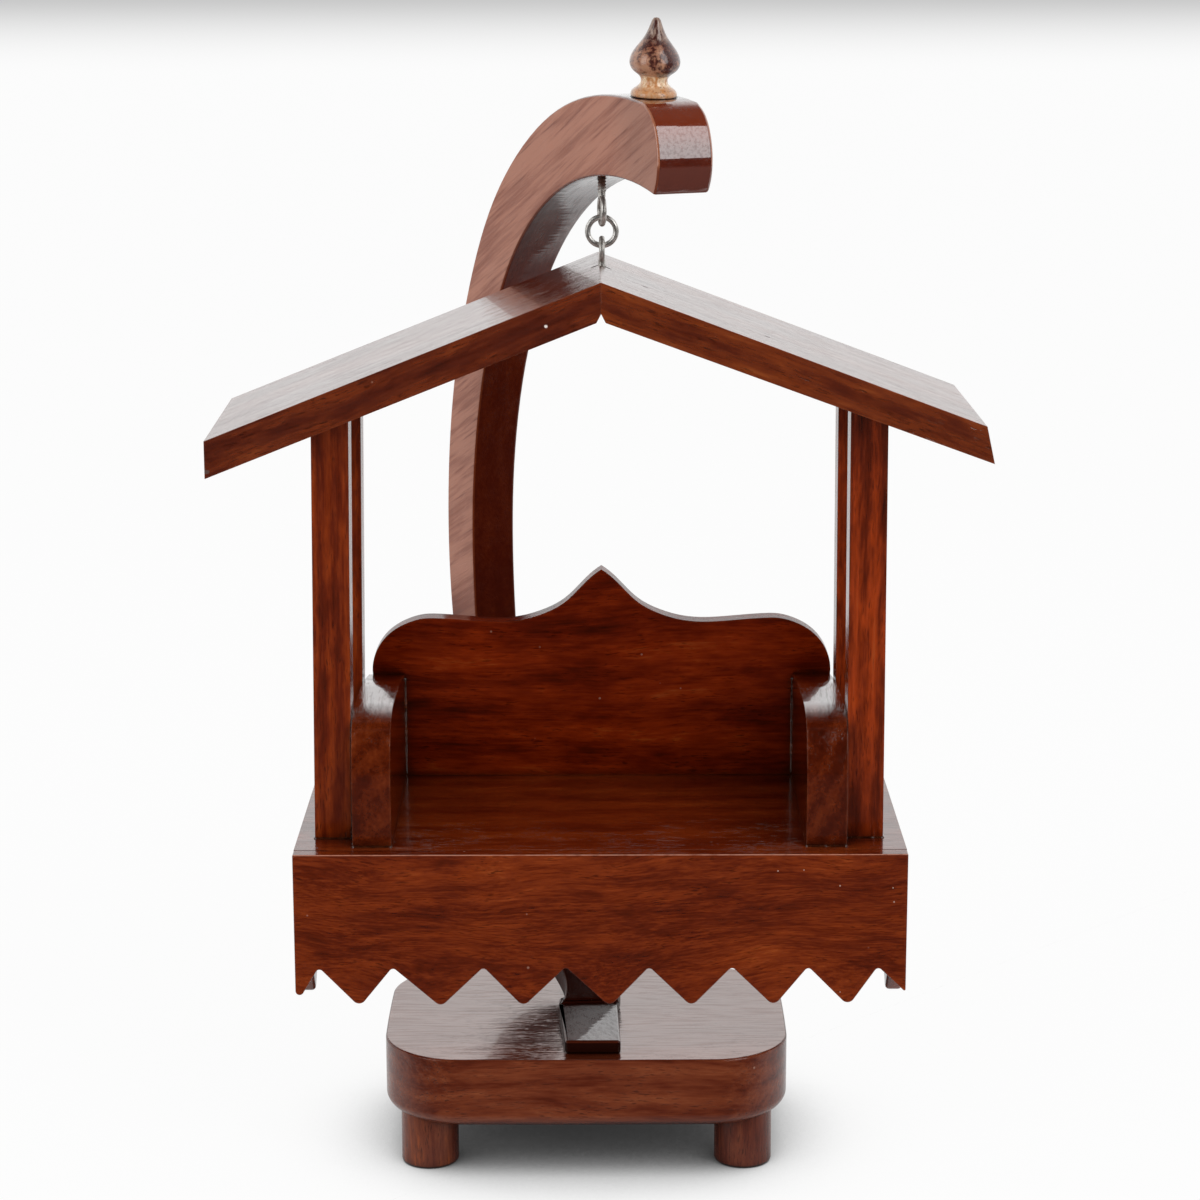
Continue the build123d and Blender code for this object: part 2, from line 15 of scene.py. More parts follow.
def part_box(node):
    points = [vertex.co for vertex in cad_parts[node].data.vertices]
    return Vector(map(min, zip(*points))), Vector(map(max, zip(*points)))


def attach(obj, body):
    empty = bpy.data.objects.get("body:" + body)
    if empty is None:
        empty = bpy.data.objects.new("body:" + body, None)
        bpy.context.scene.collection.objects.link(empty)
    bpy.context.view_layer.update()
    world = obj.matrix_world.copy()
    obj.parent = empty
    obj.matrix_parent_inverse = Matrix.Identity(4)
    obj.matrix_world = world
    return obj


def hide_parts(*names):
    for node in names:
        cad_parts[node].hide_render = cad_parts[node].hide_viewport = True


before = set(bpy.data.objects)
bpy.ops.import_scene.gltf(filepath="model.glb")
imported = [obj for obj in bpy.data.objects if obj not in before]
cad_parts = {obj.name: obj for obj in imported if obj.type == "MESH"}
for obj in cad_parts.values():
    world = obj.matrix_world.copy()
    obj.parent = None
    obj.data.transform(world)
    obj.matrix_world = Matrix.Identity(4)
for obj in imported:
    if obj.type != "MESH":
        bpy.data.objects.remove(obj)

Socket = bpy.types.NodeSocket
Rgb = tuple[float, float, float]
Triple = tuple[float, float, float]
Span = tuple[float, float]

log = logging.getLogger("swing")
ORIGIN: Triple = (0.0, 0.0, 0.0)
BACKWARD: Triple = (0.0, 1.0, 0.0)
UPRIGHT: Triple = (0.0, 0.0, 1.0)
WHITE: Rgb = (1.0, 1.0, 1.0)
FULL_TURN = 2.0 * math.pi
WELD = 0.000004  # corners nearer than this are one
FLAT = math.radians(0.4)  # faces that turn less than this are one
SHARP = math.radians(32.0)  # edges that turn more than this are rounded
ROUND_STEPS = 3
POSTS = ("post_front_left", "post_front_right", "post_rear_left", "post_rear_right")


class Body(Enum):
    """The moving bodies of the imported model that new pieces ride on."""

    STAND = "stand"
    UPPER_EYE = "upper_eye"
    LOWER_EYE = "lower_eye"
    SWING = "swing"


class Slot(Enum):
    """The record's material slots."""

    STAND_WOOD = "stand_wood"
    SEAT_WOOD = "seat_wood"
    HANGING_STEEL = "hanging_steel"


# --------------------------------------------------------------- node sheets
@dataclass(frozen=True)
class Layer:
    """Stretched noise: its repeats per metre along each axis, detail, roughness and offset."""

    repeats: Triple
    detail: float = 3.0
    rough: float = 0.6
    shift: Triple = ORIGIN


class NodeSheet:
    """A node tree with short calls that add nodes and link them."""

    def __init__(self, tree: bpy.types.NodeTree) -> None:
        """Keep the tree that the nodes go into."""
        self.tree = tree

    def feed(self, socket: Socket, value: object) -> None:
        """Link a socket to an output, or set it.

        Args:
            socket: The input.
            value: An output socket, or a plain value; None leaves the input as it is.
        """
        if isinstance(value, Socket):
            self.tree.links.new(value, socket)
        elif value is not None:
            socket.default_value = value

    def add(self, kind: str, inputs: dict | None = None, **settings: object) -> bpy.types.Node:
        """Add one node.

        Args:
            kind: Blender's node type.
            inputs: Values or outputs by input name or number.
            **settings: Properties of the node, which are set first.

        Returns:
            The node.
        """
        node = self.tree.nodes.new(kind)
        for name, value in settings.items():
            setattr(node, name, value)
        for key, value in (inputs or {}).items():
            self.feed(node.inputs[key], value)
        return node

    def math(self, operation: str, a: object, b: object = None, c: object = None) -> Socket:
        """Return the result of a Math node."""
        return self.add("ShaderNodeMath", {0: a, 1: b, 2: c}, operation=operation).outputs[0]

    def times(self, a: object, b: object) -> Socket:
        """Return a product."""
        return self.math("MULTIPLY", a, b)

    def minus(self, a: object, b: object) -> Socket:
        """Return a difference."""
        return self.math("SUBTRACT", a, b)

    def most(self, a: object, b: object) -> Socket:
        """Return the larger of two numbers."""
        return self.math("MAXIMUM", a, b)

    def scaled(self, a: object, factor: object, rest: object) -> Socket:
        """Return a number times a factor, plus the rest."""
        return self.math("MULTIPLY_ADD", a, factor, rest)

    def vector(self, operation: str, a: object, b: object = None) -> Socket:
        """Return the vector that a Vector Math node gives."""
        return self.add("ShaderNodeVectorMath", {0: a, 1: b}, operation=operation).outputs["Vector"]

    def measure(self, operation: str, a: object, b: object = None) -> Socket:
        """Return the number that a Vector Math node gives."""
        return self.add("ShaderNodeVectorMath", {0: a, 1: b}, operation=operation).outputs["Value"]

    def lengthened(self, vector: object, factor: object) -> Socket:
        """Return a vector times a number."""
        return self.add("ShaderNodeVectorMath", {0: vector, "Scale": factor}, operation="SCALE").outputs["Vector"]

    def split(self, vector: object) -> Sequence[Socket]:
        """Return a vector's X, Y and Z."""
        return self.add("ShaderNodeSeparateXYZ", {0: vector}).outputs

    def join(self, x: object, y: object, z: object = None) -> Socket:
        """Return the vector that two or three numbers make."""
        return self.add("ShaderNodeCombineXYZ", {0: x, 1: y, 2: z}).outputs[0]

    def coordinate(self, kind: str) -> Socket:
        """Return the surface's own Object, Normal or Generated coordinate."""
        return self.add("ShaderNodeTexCoord").outputs[kind]

    def noise(self, vector: object, scale: float, detail: float = 2.0, rough: float = 0.5) -> Sequence[Socket]:
        """Return a Noise Texture's value and colour."""
        inputs = {"Vector": vector, "Scale": scale, "Detail": detail, "Roughness": rough}
        return self.add("ShaderNodeTexNoise", inputs).outputs

    def stretch(self, vector: object, scale: Triple, shift: Triple = ORIGIN) -> Socket:
        """Return a vector scaled by a different amount along each axis."""
        return self.add("ShaderNodeMapping", {"Vector": vector, "Scale": scale, "Location": shift}).outputs[0]

    def layer(self, vector: object, layer: Layer) -> Sequence[Socket]:
        """Return the value and colour of one layer of stretched noise."""
        return self.noise(self.stretch(vector, layer.repeats, layer.shift), 1.0, layer.detail, layer.rough)

    def between(self, value: object, low: float, high: float, start: float = 0.0, end: float = 1.0) -> Socket:
        """Return a number eased from start to end as the value goes from low to high."""
        inputs = {"Value": value, "From Min": low, "From Max": high, "To Min": start, "To Max": end}
        return self.add("ShaderNodeMapRange", inputs, interpolation_type="SMOOTHSTEP").outputs[0]

    def mix(self, share: object, a: object, b: object, blend: str = "MIX") -> Socket:
        """Blend two colours.

        Args:
            share: How much of the second colour there is, from 0 to 1.
            a: The first colour, a triple or an output.
            b: The second colour.
            blend: Blender's name for the way they blend.

        Returns:
            The colour.
        """
        shades = [(*v, 1.0) if isinstance(v, tuple) and len(v) == 3 else v for v in (a, b)]
        inputs = {0: share, 6: shades[0], 7: shades[1]}
        return self.add("ShaderNodeMix", inputs, data_type="RGBA", blend_type=blend).outputs[2]

    def cover(self, shade: object, mask: object, share: float, tone: object) -> Socket:
        """Return a colour that another covers by a share wherever the mask says."""
        return self.mix(self.times(mask, share), shade, tone)

    def ramp(self, value: object, stops: Sequence[tuple[float, Rgb]]) -> Socket:
        """Turn a number into a colour.

        Args:
            value: The number.
            stops: Positions and their colours, lowest first.

        Returns:
            The colour.
        """
        node = self.add("ShaderNodeValToRGB", {"Fac": value})
        elements = node.color_ramp.elements
        while len(elements) < len(stops):
            elements.new(0.5)
        for element, (position, shade) in zip(elements, stops):
            element.position = position
            element.color = (*shade, 1.0)
        return node.outputs[0]

    def show(self, shader: bpy.types.Node, kind: str = "ShaderNodeOutputMaterial") -> None:
        """Join a shader to the tree's output."""
        self.add(kind, {"Surface": shader.outputs[0]})


def new_group(name: str, inputs: dict[str, object], outputs: Sequence[str]) -> tuple[NodeSheet, Sequence[Socket]]:
    """Start a shader node group.

    Args:
        name: The group's name.
        inputs: Default value by input name; a tuple makes a vector socket.
        outputs: Names of its outputs, which are all numbers.

    Returns:
        The sheet, and what the group is given.
    """
    tree = bpy.data.node_groups.new(name, "ShaderNodeTree")
    for label, default in inputs.items():
        kind = "NodeSocketVector" if isinstance(default, tuple) else "NodeSocketFloat"
        tree.interface.new_socket(name=label, in_out="INPUT", socket_type=kind).default_value = default
    for label in outputs:
        tree.interface.new_socket(name=label, in_out="OUTPUT", socket_type="NodeSocketFloat")
    sheet = NodeSheet(tree)
    return sheet, sheet.add("NodeGroupInput").outputs


def new_material(name: str) -> tuple[bpy.types.Material, NodeSheet]:
    """Start a material.

    Args:
        name: The material's name.

    Returns:
        The material and its empty sheet.
    """
    material = bpy.data.materials.new(name)
    material.use_nodes = True
    material.node_tree.nodes.clear()
    return material, NodeSheet(material.node_tree)


class Effects:
    """Shader groups that several finishes share, each built once."""

    DRIFT = Layer((7.0, 20.0, 20.0), 2.0, 0.5)
    LOOSE = Layer((9.0, 40.0, 40.0), 3.0, 0.5)
    BLOTCH = Layer((14.0, 34.0, 34.0), 3.0, 0.55)
    STREAK = Layer((42.0, 760.0, 760.0), 4.0, 0.62)
    CLOUD = Layer((60.0, 190.0, 190.0))
    FLECK = Layer((110.0, 620.0, 620.0), 2.0, 0.5, (0.4, 0.1, 0.7))
    HAIR = Layer((190.0, 1500.0, 1500.0), 2.0, 0.6, (0.2, 0.6, 0.3))
    HOLE = Layer((260.0, 2100.0, 2100.0), 1.0, 0.5)
    SHARES = (0.34, 0.24, 0.26, 0.16)  # of blotch, streak, cloud and fleck in the tone
    HEART: Triple = (0.0, 0.045, -0.06)  # the tree's heart, which the rings go round
    RING_LOOSENESS = 9.0
    PATCH_REPEATS = 240.0
    # occlusion reach of the painted shade in hollows
    HOLLOW_SHADE_REACH = 0.05
    # occlusion reach of the dark joint lines and their painted contact shadow
    JOINT_SHADOW_REACH = 0.006
    SPECK_REPEATS = 95.0
    SPECK_PATCHES = 60.0
    RIPPLE_REPEATS = 130.0

    def __init__(self) -> None:
        """Build the groups."""
        self.grain = self.build_grain()
        self.edge = self.build_edge()
        self.dust = self.build_dust()
        self.corner = self.build_corner()

    def build_grain(self) -> bpy.types.NodeTree:
        """Build sheesham grain running along X: figure, fine streaks and pores.

        Returns:
            The group.
        """
        inputs = {"Vector": ORIGIN, "Ring Width": 0.009, "Wander": 0.012, "Swirl": 0.0, "Figure": 0.08, "Fibre": 0.0}
        sheet, given = new_group("sheesham grain", inputs, ("Tone", "Streak", "Pore"))
        place = given["Vector"]
        drift = sheet.vector("SUBTRACT", sheet.layer(place, self.DRIFT)["Color"], (0.5, 0.5, 0.5))
        wavy = sheet.vector("ADD", place, sheet.lengthened(drift, given["Wander"]))
        x, y, z = sheet.split(wavy)
        height = sheet.math("ADD", z, sheet.times(sheet.times(x, x), given["Swirl"]))
        heart = sheet.measure("DISTANCE", sheet.join(0.0, y, height), self.HEART)
        turns = sheet.math("DIVIDE", heart, given["Ring Width"])
        loose = sheet.times(sheet.layer(wavy, self.LOOSE)[0], self.RING_LOOSENESS)
        rings = sheet.scaled(sheet.math("SINE", sheet.scaled(turns, FULL_TURN, loose)), 0.5, 0.5)
        kinds = (self.BLOTCH, self.STREAK, self.CLOUD, self.FLECK, self.HAIR, self.HOLE)
        blotch, streak, cloud, fleck, hair, hole = (sheet.layer(wavy, kind)[0] for kind in kinds)
        tone = sheet.scaled(sheet.minus(rings, 0.5), given["Figure"], 0.0)
        for layer, share in zip((blotch, streak, cloud, fleck), self.SHARES):
            tone = sheet.scaled(layer, share, tone)
        tone = sheet.scaled(sheet.minus(hair, fleck), given["Fibre"], tone)
        pore = sheet.times(sheet.between(hole, 0.55, 0.72), sheet.between(cloud, 0.42, 0.62))
        sheet.add("NodeGroupOutput", {"Tone": tone, "Streak": streak, "Pore": pore})
        return sheet.tree

    def build_edge(self) -> bpy.types.NodeTree:
        """Build masks of rubbed edges, all of them, and of a painted highlight on the front's upper edges, both broken
        up along their length.

        Returns:
            The group.
        """
        sheet, given = new_group("rubbed edge", {"Vector": ORIGIN, "Reach": 0.0012}, ("Mask", "Upper Highlight"))
        rounded = sheet.add("ShaderNodeBevel", {"Radius": given["Reach"]}, samples=4).outputs[0]
        flat = sheet.add("ShaderNodeNewGeometry").outputs["Normal"]
        mask = sheet.between(sheet.measure("DOT_PRODUCT", rounded, flat), 0.995, 0.86)
        patchy = sheet.noise(given["Vector"], self.PATCH_REPEATS, 3.0, 0.6)[0]
        worn = sheet.times(mask, sheet.between(patchy, 0.38, 0.62, 0.25, 1.0))
        # painted highlight: rounded edges that face up and to the front
        _, back, rise = sheet.split(sheet.coordinate("Normal"))
        outward = sheet.times(sheet.between(back, -0.20, -0.40), sheet.between(back, -0.95, -0.85))
        upper = sheet.times(outward, sheet.between(rise, 0.30, 0.45))
        upper = sheet.times(upper, sheet.between(patchy, 0.30, 0.55, 0.45, 1.0))
        sheet.add("NodeGroupOutput", {"Mask": worn, "Upper Highlight": upper})
        return sheet.tree

    def build_corner(self) -> bpy.types.NodeTree:
        """Build a mask of open places, outside which painted shade darkens hollows, and one of tight joints, for dark
        joint lines with painted contact shadow.

        Returns:
            The group.
        """
        sheet, _ = new_group("painted corner shade", {}, ("Open", "Joint"))
        # painted shade: occlusion finds hollows and tight joints
        wide = sheet.add("ShaderNodeAmbientOcclusion", {"Distance": self.HOLLOW_SHADE_REACH}, samples=8).outputs["AO"]
        tight = sheet.add("ShaderNodeAmbientOcclusion", {"Distance": self.JOINT_SHADOW_REACH}, samples=6).outputs["AO"]
        masks = {"Open": sheet.between(wide, 0.05, 0.62), "Joint": sheet.between(tight, 0.75, 0.35)}
        sheet.add("NodeGroupOutput", masks)
        return sheet.tree

    def build_dust(self) -> bpy.types.NodeTree:
        """Build specks caught in brushed lacquer and its slight unevenness.

        Returns:
            The group.
        """
        sheet, given = new_group("lacquer dust", {"Vector": ORIGIN}, ("Speck", "Ripple"))
        place = given["Vector"]
        inputs = {"Vector": place, "Scale": self.SPECK_REPEATS, "Randomness": 1.0}
        dots = sheet.add("ShaderNodeTexVoronoi", inputs).outputs["Distance"]
        rare = sheet.between(sheet.noise(place, self.SPECK_PATCHES, 2.0)[0], 0.52, 0.62)
        speck = sheet.times(sheet.between(dots, 0.055, 0.03), rare)
        ripple = sheet.noise(place, self.RIPPLE_REPEATS, 2.0, 0.4)[0]
        sheet.add("NodeGroupOutput", {"Speck": speck, "Ripple": ripple})
        return sheet.tree


# ------------------------------------------------------------------ finishes
@dataclass(frozen=True)
class Spot:
    """A small mark in the lacquer: where it is, its size, its colour and how much it is squeezed."""

    at: Triple
    radius: float
    shade: Rgb
    stretch: Triple = (1.0, 1.0, 1.0)


@dataclass(frozen=True)
class WoodFinish:
    """Lacquered sheesham, with the grain running along one direction of the piece."""

    WAVE = Layer((30.0, 900.0, 900.0), 3.0, 0.7, (0.7, 0.2, 0.9))
    MARK_REPEATS = 900.0
    MARK_NORMAL = (0.0, -0.98, 0.2)

    name: str
    along: Triple = (1.0, 0.0, 0.0)
    across: Triple = BACKWARD
    shift: Triple = ORIGIN
    dark: Rgb = (0.030, 0.0036, 0.0010)
    middle: Rgb = (0.112, 0.0125, 0.0022)
    light: Rgb = (0.215, 0.031, 0.0045)
    bright: Rgb = (0.360, 0.075, 0.012)
    tone_stops: tuple[float, ...] = (0.32, 0.455, 0.575, 0.72)
    ring_width: float = 0.009
    wander: float = 0.012
    swirl: float = 0.0
    figure: float = 0.08
    fibre: float = 0.0
    pore: float = 0.6
    rub: float = 0.35
    rub_reach: float = 0.0012
    rub_shade: Rgb = (0.26, 0.065, 0.018)
    rub_rough: float = 0.12
    # painted highlight along the upper front edges
    upper_edge_highlight: float = 0.0
    upper_highlight_tone: Rgb = (0.55, 0.26, 0.18)
    speck: float = 0.45
    speck_shade: Rgb = (0.42, 0.24, 0.17)
    # multiplied in as painted shade in hollows
    hollow_painted_shade: Rgb = (0.30, 0.22, 0.20)
    # dark joint lines with painted contact shadow
    joint: float = 0.8
    joint_dark_and_shadow: Rgb = (0.012, 0.003, 0.001)
    spots: tuple[Spot, ...] = ()
    spot_rough: float = 0.4
    gloss: float = 0.16
    streak_rough: float = 0.16
    shine: float = 0.8
    ior: float = 1.5
    spec_tint: Rgb = (1.0, 0.90, 0.87)
    coat: float = 0.3
    coat_rough: float = 0.05
    coat_ior: float = 1.5
    coat_streak: float = 0.5
    side_coat: float | None = None
    grain_depth: float = 0.25
    grain_relief: float = 0.0004
    feather: float = 0.0

    def turn(self) -> Triple:
        """Work out the rotation that brings the grain onto X.

        Returns:
            Its XYZ angles.
        """
        x = Vector(self.along).normalized()
        z = x.cross(Vector(self.across)).normalized()
        y = z.cross(x)
        return tuple(Matrix((x, y, z)).to_euler("XYZ"))

    def coat_share(self, sheet: NodeSheet, place: Socket) -> object:
        """Work out the coat's weight.

        Args:
            sheet: The material's nodes.
            place: Place on the object; not used here.

        Returns:
            A number, or a mask where the coat is thinner on the sides.
        """
        if self.side_coat is None:
            return self.coat
        rise = sheet.split(sheet.coordinate("Normal"))[2]
        return sheet.between(rise, 0.5, 0.85, self.side_coat, self.coat)

    def tint(self, sheet: NodeSheet, place: Socket, shade: Socket) -> Socket:
        """Return the wood's colour after any change that depends on place."""
        return shade

    def planed(self, sheet: NodeSheet, places: Sequence[Socket], look: Sequence[Socket]) -> Sequence[Socket]:
        """Return the colour, roughness and coat after any change on planed faces, such as a painted sheen."""
        return look

    def spotted(self, sheet: NodeSheet, place: Socket, shade: Socket) -> tuple[Socket, Socket | None]:
        """Lay the marks over the wood's colour.

        Args:
            sheet: The material's nodes.
            place: Place on the object.
            shade: The colour without them.

        Returns:
            The colour with them, and their mask if there are any.
        """
        marked = None
        for spot in self.spots:
            near = sheet.stretch(sheet.vector("SUBTRACT", place, spot.at), spot.stretch)
            uneven = sheet.math("ADD", sheet.noise(place, self.MARK_REPEATS, 2.0)[0], 0.5)
            reach = sheet.times(sheet.measure("LENGTH", near), uneven)
            covered = sheet.between(reach, spot.radius, spot.radius * 0.6)
            shade = sheet.mix(covered, shade, spot.shade)
            marked = covered if marked is None else sheet.most(marked, covered)
        return shade, marked

    def feathered(self, sheet: NodeSheet, turned: Socket, normal: Socket) -> Socket:
        """Tip a normal by long shallow waves in the lacquer along the grain.

        Args:
            sheet: The material's nodes.
            turned: Place, with the grain along X.
            normal: The normal to tip.

        Returns:
            The new normal.
        """
        wave = sheet.times(sheet.minus(sheet.layer(turned, self.WAVE)[0], 0.5), self.feather)
        tip = sheet.lengthened(Vector(self.along).normalized(), wave)
        return sheet.vector("NORMALIZE", sheet.vector("ADD", normal, tip))

    def make(self, effects: Effects) -> bpy.types.Material:
        """Build the material.

        Args:
            effects: The shared shader groups.

        Returns:
            The material.
        """
        material, sheet = new_material(self.name)
        place = sheet.coordinate("Object")
        inputs = {"Vector": place, "Rotation": self.turn(), "Location": self.shift}
        turned = sheet.add("ShaderNodeMapping", inputs).outputs[0]
        inputs = {
            "Vector": turned, "Ring Width": self.ring_width, "Wander": self.wander, "Swirl": self.swirl,
            "Figure": self.figure, "Fibre": self.fibre,
        }
        grain = sheet.add("ShaderNodeGroup", inputs, node_tree=effects.grain).outputs
        edge = sheet.add("ShaderNodeGroup", {"Vector": place, "Reach": self.rub_reach}, node_tree=effects.edge).outputs
        dust = sheet.add("ShaderNodeGroup", {"Vector": place}, node_tree=effects.dust).outputs
        corner = sheet.add("ShaderNodeGroup", node_tree=effects.corner).outputs

        tones = (self.dark, self.middle, self.light, self.bright)
        shade = sheet.ramp(grain["Tone"], list(zip(self.tone_stops, tones)))
        shade = sheet.cover(shade, grain["Pore"], self.pore, tuple(v * 0.5 for v in self.dark))
        shade = sheet.cover(shade, edge["Mask"], self.rub, self.rub_shade)
        # painted highlight along the upper front edges
        if self.upper_edge_highlight:
            shade = sheet.cover(shade, edge["Upper Highlight"], self.upper_edge_highlight, self.upper_highlight_tone)
        shade = sheet.cover(shade, dust["Speck"], self.speck, self.speck_shade)
        shade, marked = self.spotted(sheet, place, shade)
        shade = self.tint(sheet, place, shade)
        # painted shade: colour darkened in hollows
        shade = sheet.mix(corner["Open"], sheet.mix(1.0, shade, self.hollow_painted_shade, "MULTIPLY"), shade)
        # dark joint lines with painted contact shadow, where tight occlusion finds joints
        shade = sheet.cover(shade, corner["Joint"], self.joint, self.joint_dark_and_shadow)

        broken = sheet.between(grain["Streak"], 0.36, 0.56, self.coat_streak, 1.0)
        coat = sheet.times(self.coat_share(sheet, place), broken)
        rough = sheet.scaled(grain["Streak"], self.streak_rough, self.gloss - self.streak_rough / 2.0)
        if marked is not None:
            coat = sheet.times(coat, sheet.minus(1.0, marked))
            rough = sheet.scaled(marked, self.spot_rough, rough)
        shade, rough, coat = self.planed(sheet, (place, turned), (shade, rough, coat))
        rough = sheet.scaled(edge["Mask"], self.rub_rough, rough)

        relief = grain["Streak"]
        for rise, share in ((grain["Pore"], -0.8), (dust["Speck"], 1.5), (dust["Ripple"], 1.2)):
            relief = sheet.scaled(rise, share, relief)
        inputs = {"Strength": self.grain_depth, "Distance": self.grain_relief, "Height": relief}
        normal = sheet.add("ShaderNodeBump", inputs).outputs[0]
        if self.feather:
            normal = self.feathered(sheet, turned, normal)
        if marked is not None:
            inputs = {0: marked, 4: normal, 5: self.MARK_NORMAL}
            normal = sheet.vector("NORMALIZE", sheet.add("ShaderNodeMix", inputs, data_type="VECTOR").outputs[1])
        inputs = {
            "Base Color": shade, "Roughness": rough, "Normal": normal, "IOR": self.ior,
            "Specular IOR Level": self.shine, "Specular Tint": (*self.spec_tint, 1.0), "Coat Weight": coat,
            "Coat Roughness": self.coat_rough, "Coat IOR": self.coat_ior,
        }
        sheet.show(sheet.add("ShaderNodeBsdfPrincipled", inputs))
        return material


@dataclass(frozen=True)
class ArmFinish(WoodFinish):
    """The arm's wood: pale planed sides with a painted sheen, painted reflection, highlight and shade, less gloss
    inside the crescent, almost black round the toe.

    Its across direction faces its sides. Spans are in metres, along its heading or in height.
    """

    RIPPLE = Layer((90.0, 850.0, 850.0))
    WIDE_BAND = Layer((11.0, 130.0, 130.0), 4.0)
    NARROW_BAND = Layer((32.0, 760.0, 760.0))

    heading: Triple = (1.0, 0.0, 0.0)
    centre_along: float = 0.030
    centre_height: float = 0.212
    inner_coat: float = 0.05
    inner_reach: Span = (0.160, 0.153)
    inner_along: Span = (0.044, 0.034)
    foot_rise: Span = (0.18, 0.15)
    toe_joint: float = 0.0132
    toe_slant: float = -0.369
    nose: Span = (0.052, 0.058)
    # painted reflection above and below the nose's bright band
    above_band: Span = (0.3720, 0.3800)
    above_reflection_tone: Rgb = (0.190, 0.026, 0.005)
    below_band: Span = (0.3680, 0.3668)
    below_reflection_tone: Rgb = (0.125, 0.036, 0.026)
    # painted highlight on the rounded edges at the nose's band
    lit_band: Span = (0.3660, 0.3690)
    lit_shade: Rgb = (0.50, 0.20, 0.11)
    calm_shade: Rgb = (0.080, 0.0085, 0.0026)
    # painted highlight on the arm's rounded edges
    rim_highlight_tone: Rgb = (0.20, 0.045, 0.016)
    # painted shade low on the arm
    foot_painted_shade: Rgb = (0.040, 0.007, 0.003)
    # near-black toe: dark end grain with painted shade
    toe_shade: Rgb = (0.008, 0.0015, 0.0008)
    # tones of the planed sides with their painted sheen
    pale_light: Rgb = (0.560, 0.262, 0.183)
    pale_dark: Rgb = (0.380, 0.156, 0.107)
    pale_line: Rgb = (0.19, 0.066, 0.048)
    nose_tone: Rgb = (0.76, 0.82, 0.86)
    pale_from: Span = (0.155, 0.195)
    pale_rough: float = 0.3

    def side_facing(self, sheet: NodeSheet) -> Socket:
        """Return how far a face turns to the arm's sides, from 0 to 1."""
        return sheet.math("ABSOLUTE", sheet.measure("DOT_PRODUCT", sheet.coordinate("Normal"), self.across))

    def coat_share(self, sheet: NodeSheet, place: Socket) -> Socket:
        """Work out the coat's weight: streaked inside the crescent, low on the foot, half the toe bare.

        Args:
            sheet: The material's nodes.
            place: Place on the object.

        Returns:
            The weight.
        """
        along = sheet.measure("DOT_PRODUCT", place, self.heading)
        across = sheet.measure("DOT_PRODUCT", place, self.across)
        x, y, height = sheet.split(place)
        flat = sheet.join(sheet.minus(along, self.centre_along), sheet.minus(height, self.centre_height))
        reach = sheet.measure("LENGTH", flat)
        inside = sheet.times(sheet.between(reach, *self.inner_reach), sheet.between(along, *self.inner_along))
        ripple = sheet.minus(sheet.layer(sheet.join(across, along, height), self.RIPPLE)[0], 0.5)
        edge = sheet.scaled(ripple, 0.013, sheet.math("ADD", across, 0.0049))
        limit = sheet.between(height, 0.354, 0.338, 0.0060, -0.0065)
        limit = sheet.math("ADD", limit, sheet.between(height, 0.330, 0.320, 0.0, 0.0050))
        dark = sheet.between(sheet.minus(edge, limit), -0.0026, 0.0026)
        bare = sheet.times(inside, sheet.most(dark, sheet.between(height, 0.334, 0.318, 0.0, 0.9)))
        slant = sheet.scaled(y, self.toe_slant, sheet.minus(x, self.toe_joint))
        slant = sheet.scaled(ripple, 0.006, slant)
        upward = sheet.between(sheet.split(sheet.coordinate("Normal"))[2], 0.5, 0.8)
        shiny = sheet.times(upward, sheet.between(slant, -0.0004, 0.0006))
        foot = sheet.times(sheet.between(height, *self.foot_rise), sheet.minus(1.0, shiny))
        return sheet.scaled(sheet.most(bare, foot), self.inner_coat - self.coat, self.coat)

    def tint(self, sheet: NodeSheet, place: Socket, shade: Socket) -> Socket:
        """Change the colour: calmer off the sides, orange above the nose and mauve below as painted reflection, warm
        edges as painted highlight, painted shade low down, a dark toe with painted shade.

        Args:
            sheet: The material's nodes.
            place: Place on the object.
            shade: The wood's colour.

        Returns:
            The new colour.
        """
        height = sheet.split(place)[2]
        side = self.side_facing(sheet)
        shade = sheet.mix(sheet.between(side, 0.6, 0.3, 0.0, 0.7), shade, self.calm_shade)
        # painted reflection: orange above the nose's band, mauve below it
        nose = sheet.between(sheet.measure("DOT_PRODUCT", place, self.heading), *self.nose)
        upper = sheet.times(nose, sheet.between(height, *self.above_band))
        shade = sheet.cover(shade, upper, 0.85, self.above_reflection_tone)
        lower = sheet.times(nose, sheet.between(height, *self.below_band))
        shade = sheet.cover(shade, lower, 0.8, self.below_reflection_tone)
        # painted highlight: warm rounded edges between the sides and the other faces
        rim = sheet.times(sheet.between(side, 0.25, 0.45), sheet.between(side, 0.90, 0.80))
        shade = sheet.cover(shade, rim, 0.55, self.rim_highlight_tone)
        # painted highlight across the nose's band
        lit = sheet.times(sheet.times(rim, nose), sheet.between(height, *self.lit_band))
        shade = sheet.cover(shade, lit, 0.6, self.lit_shade)
        # painted shade: the arm darker low down, under the seat
        shade = sheet.mix(sheet.between(height, 0.18, 0.14, 0.0, 0.7), shade, self.foot_painted_shade)
        # near-black toe: dark end grain with painted shade
        return sheet.mix(sheet.between(height, 0.0500, 0.0495, 0.0, 0.9), shade, self.toe_shade)

    def planed(self, sheet: NodeSheet, places: Sequence[Socket], look: Sequence[Socket]) -> Sequence[Socket]:
        """Make the arm's sides pale, banded and dull, greyer and darker towards the nose, with a painted sheen that
        stops low down.

        Args:
            sheet: The material's nodes.
            places: Place on the object, and the same with the grain along X.
            look: Colour, roughness and coat of the wood.

        Returns:
            The new colour, roughness and coat.
        """
        place, turned = places
        shade, rough, coat = look
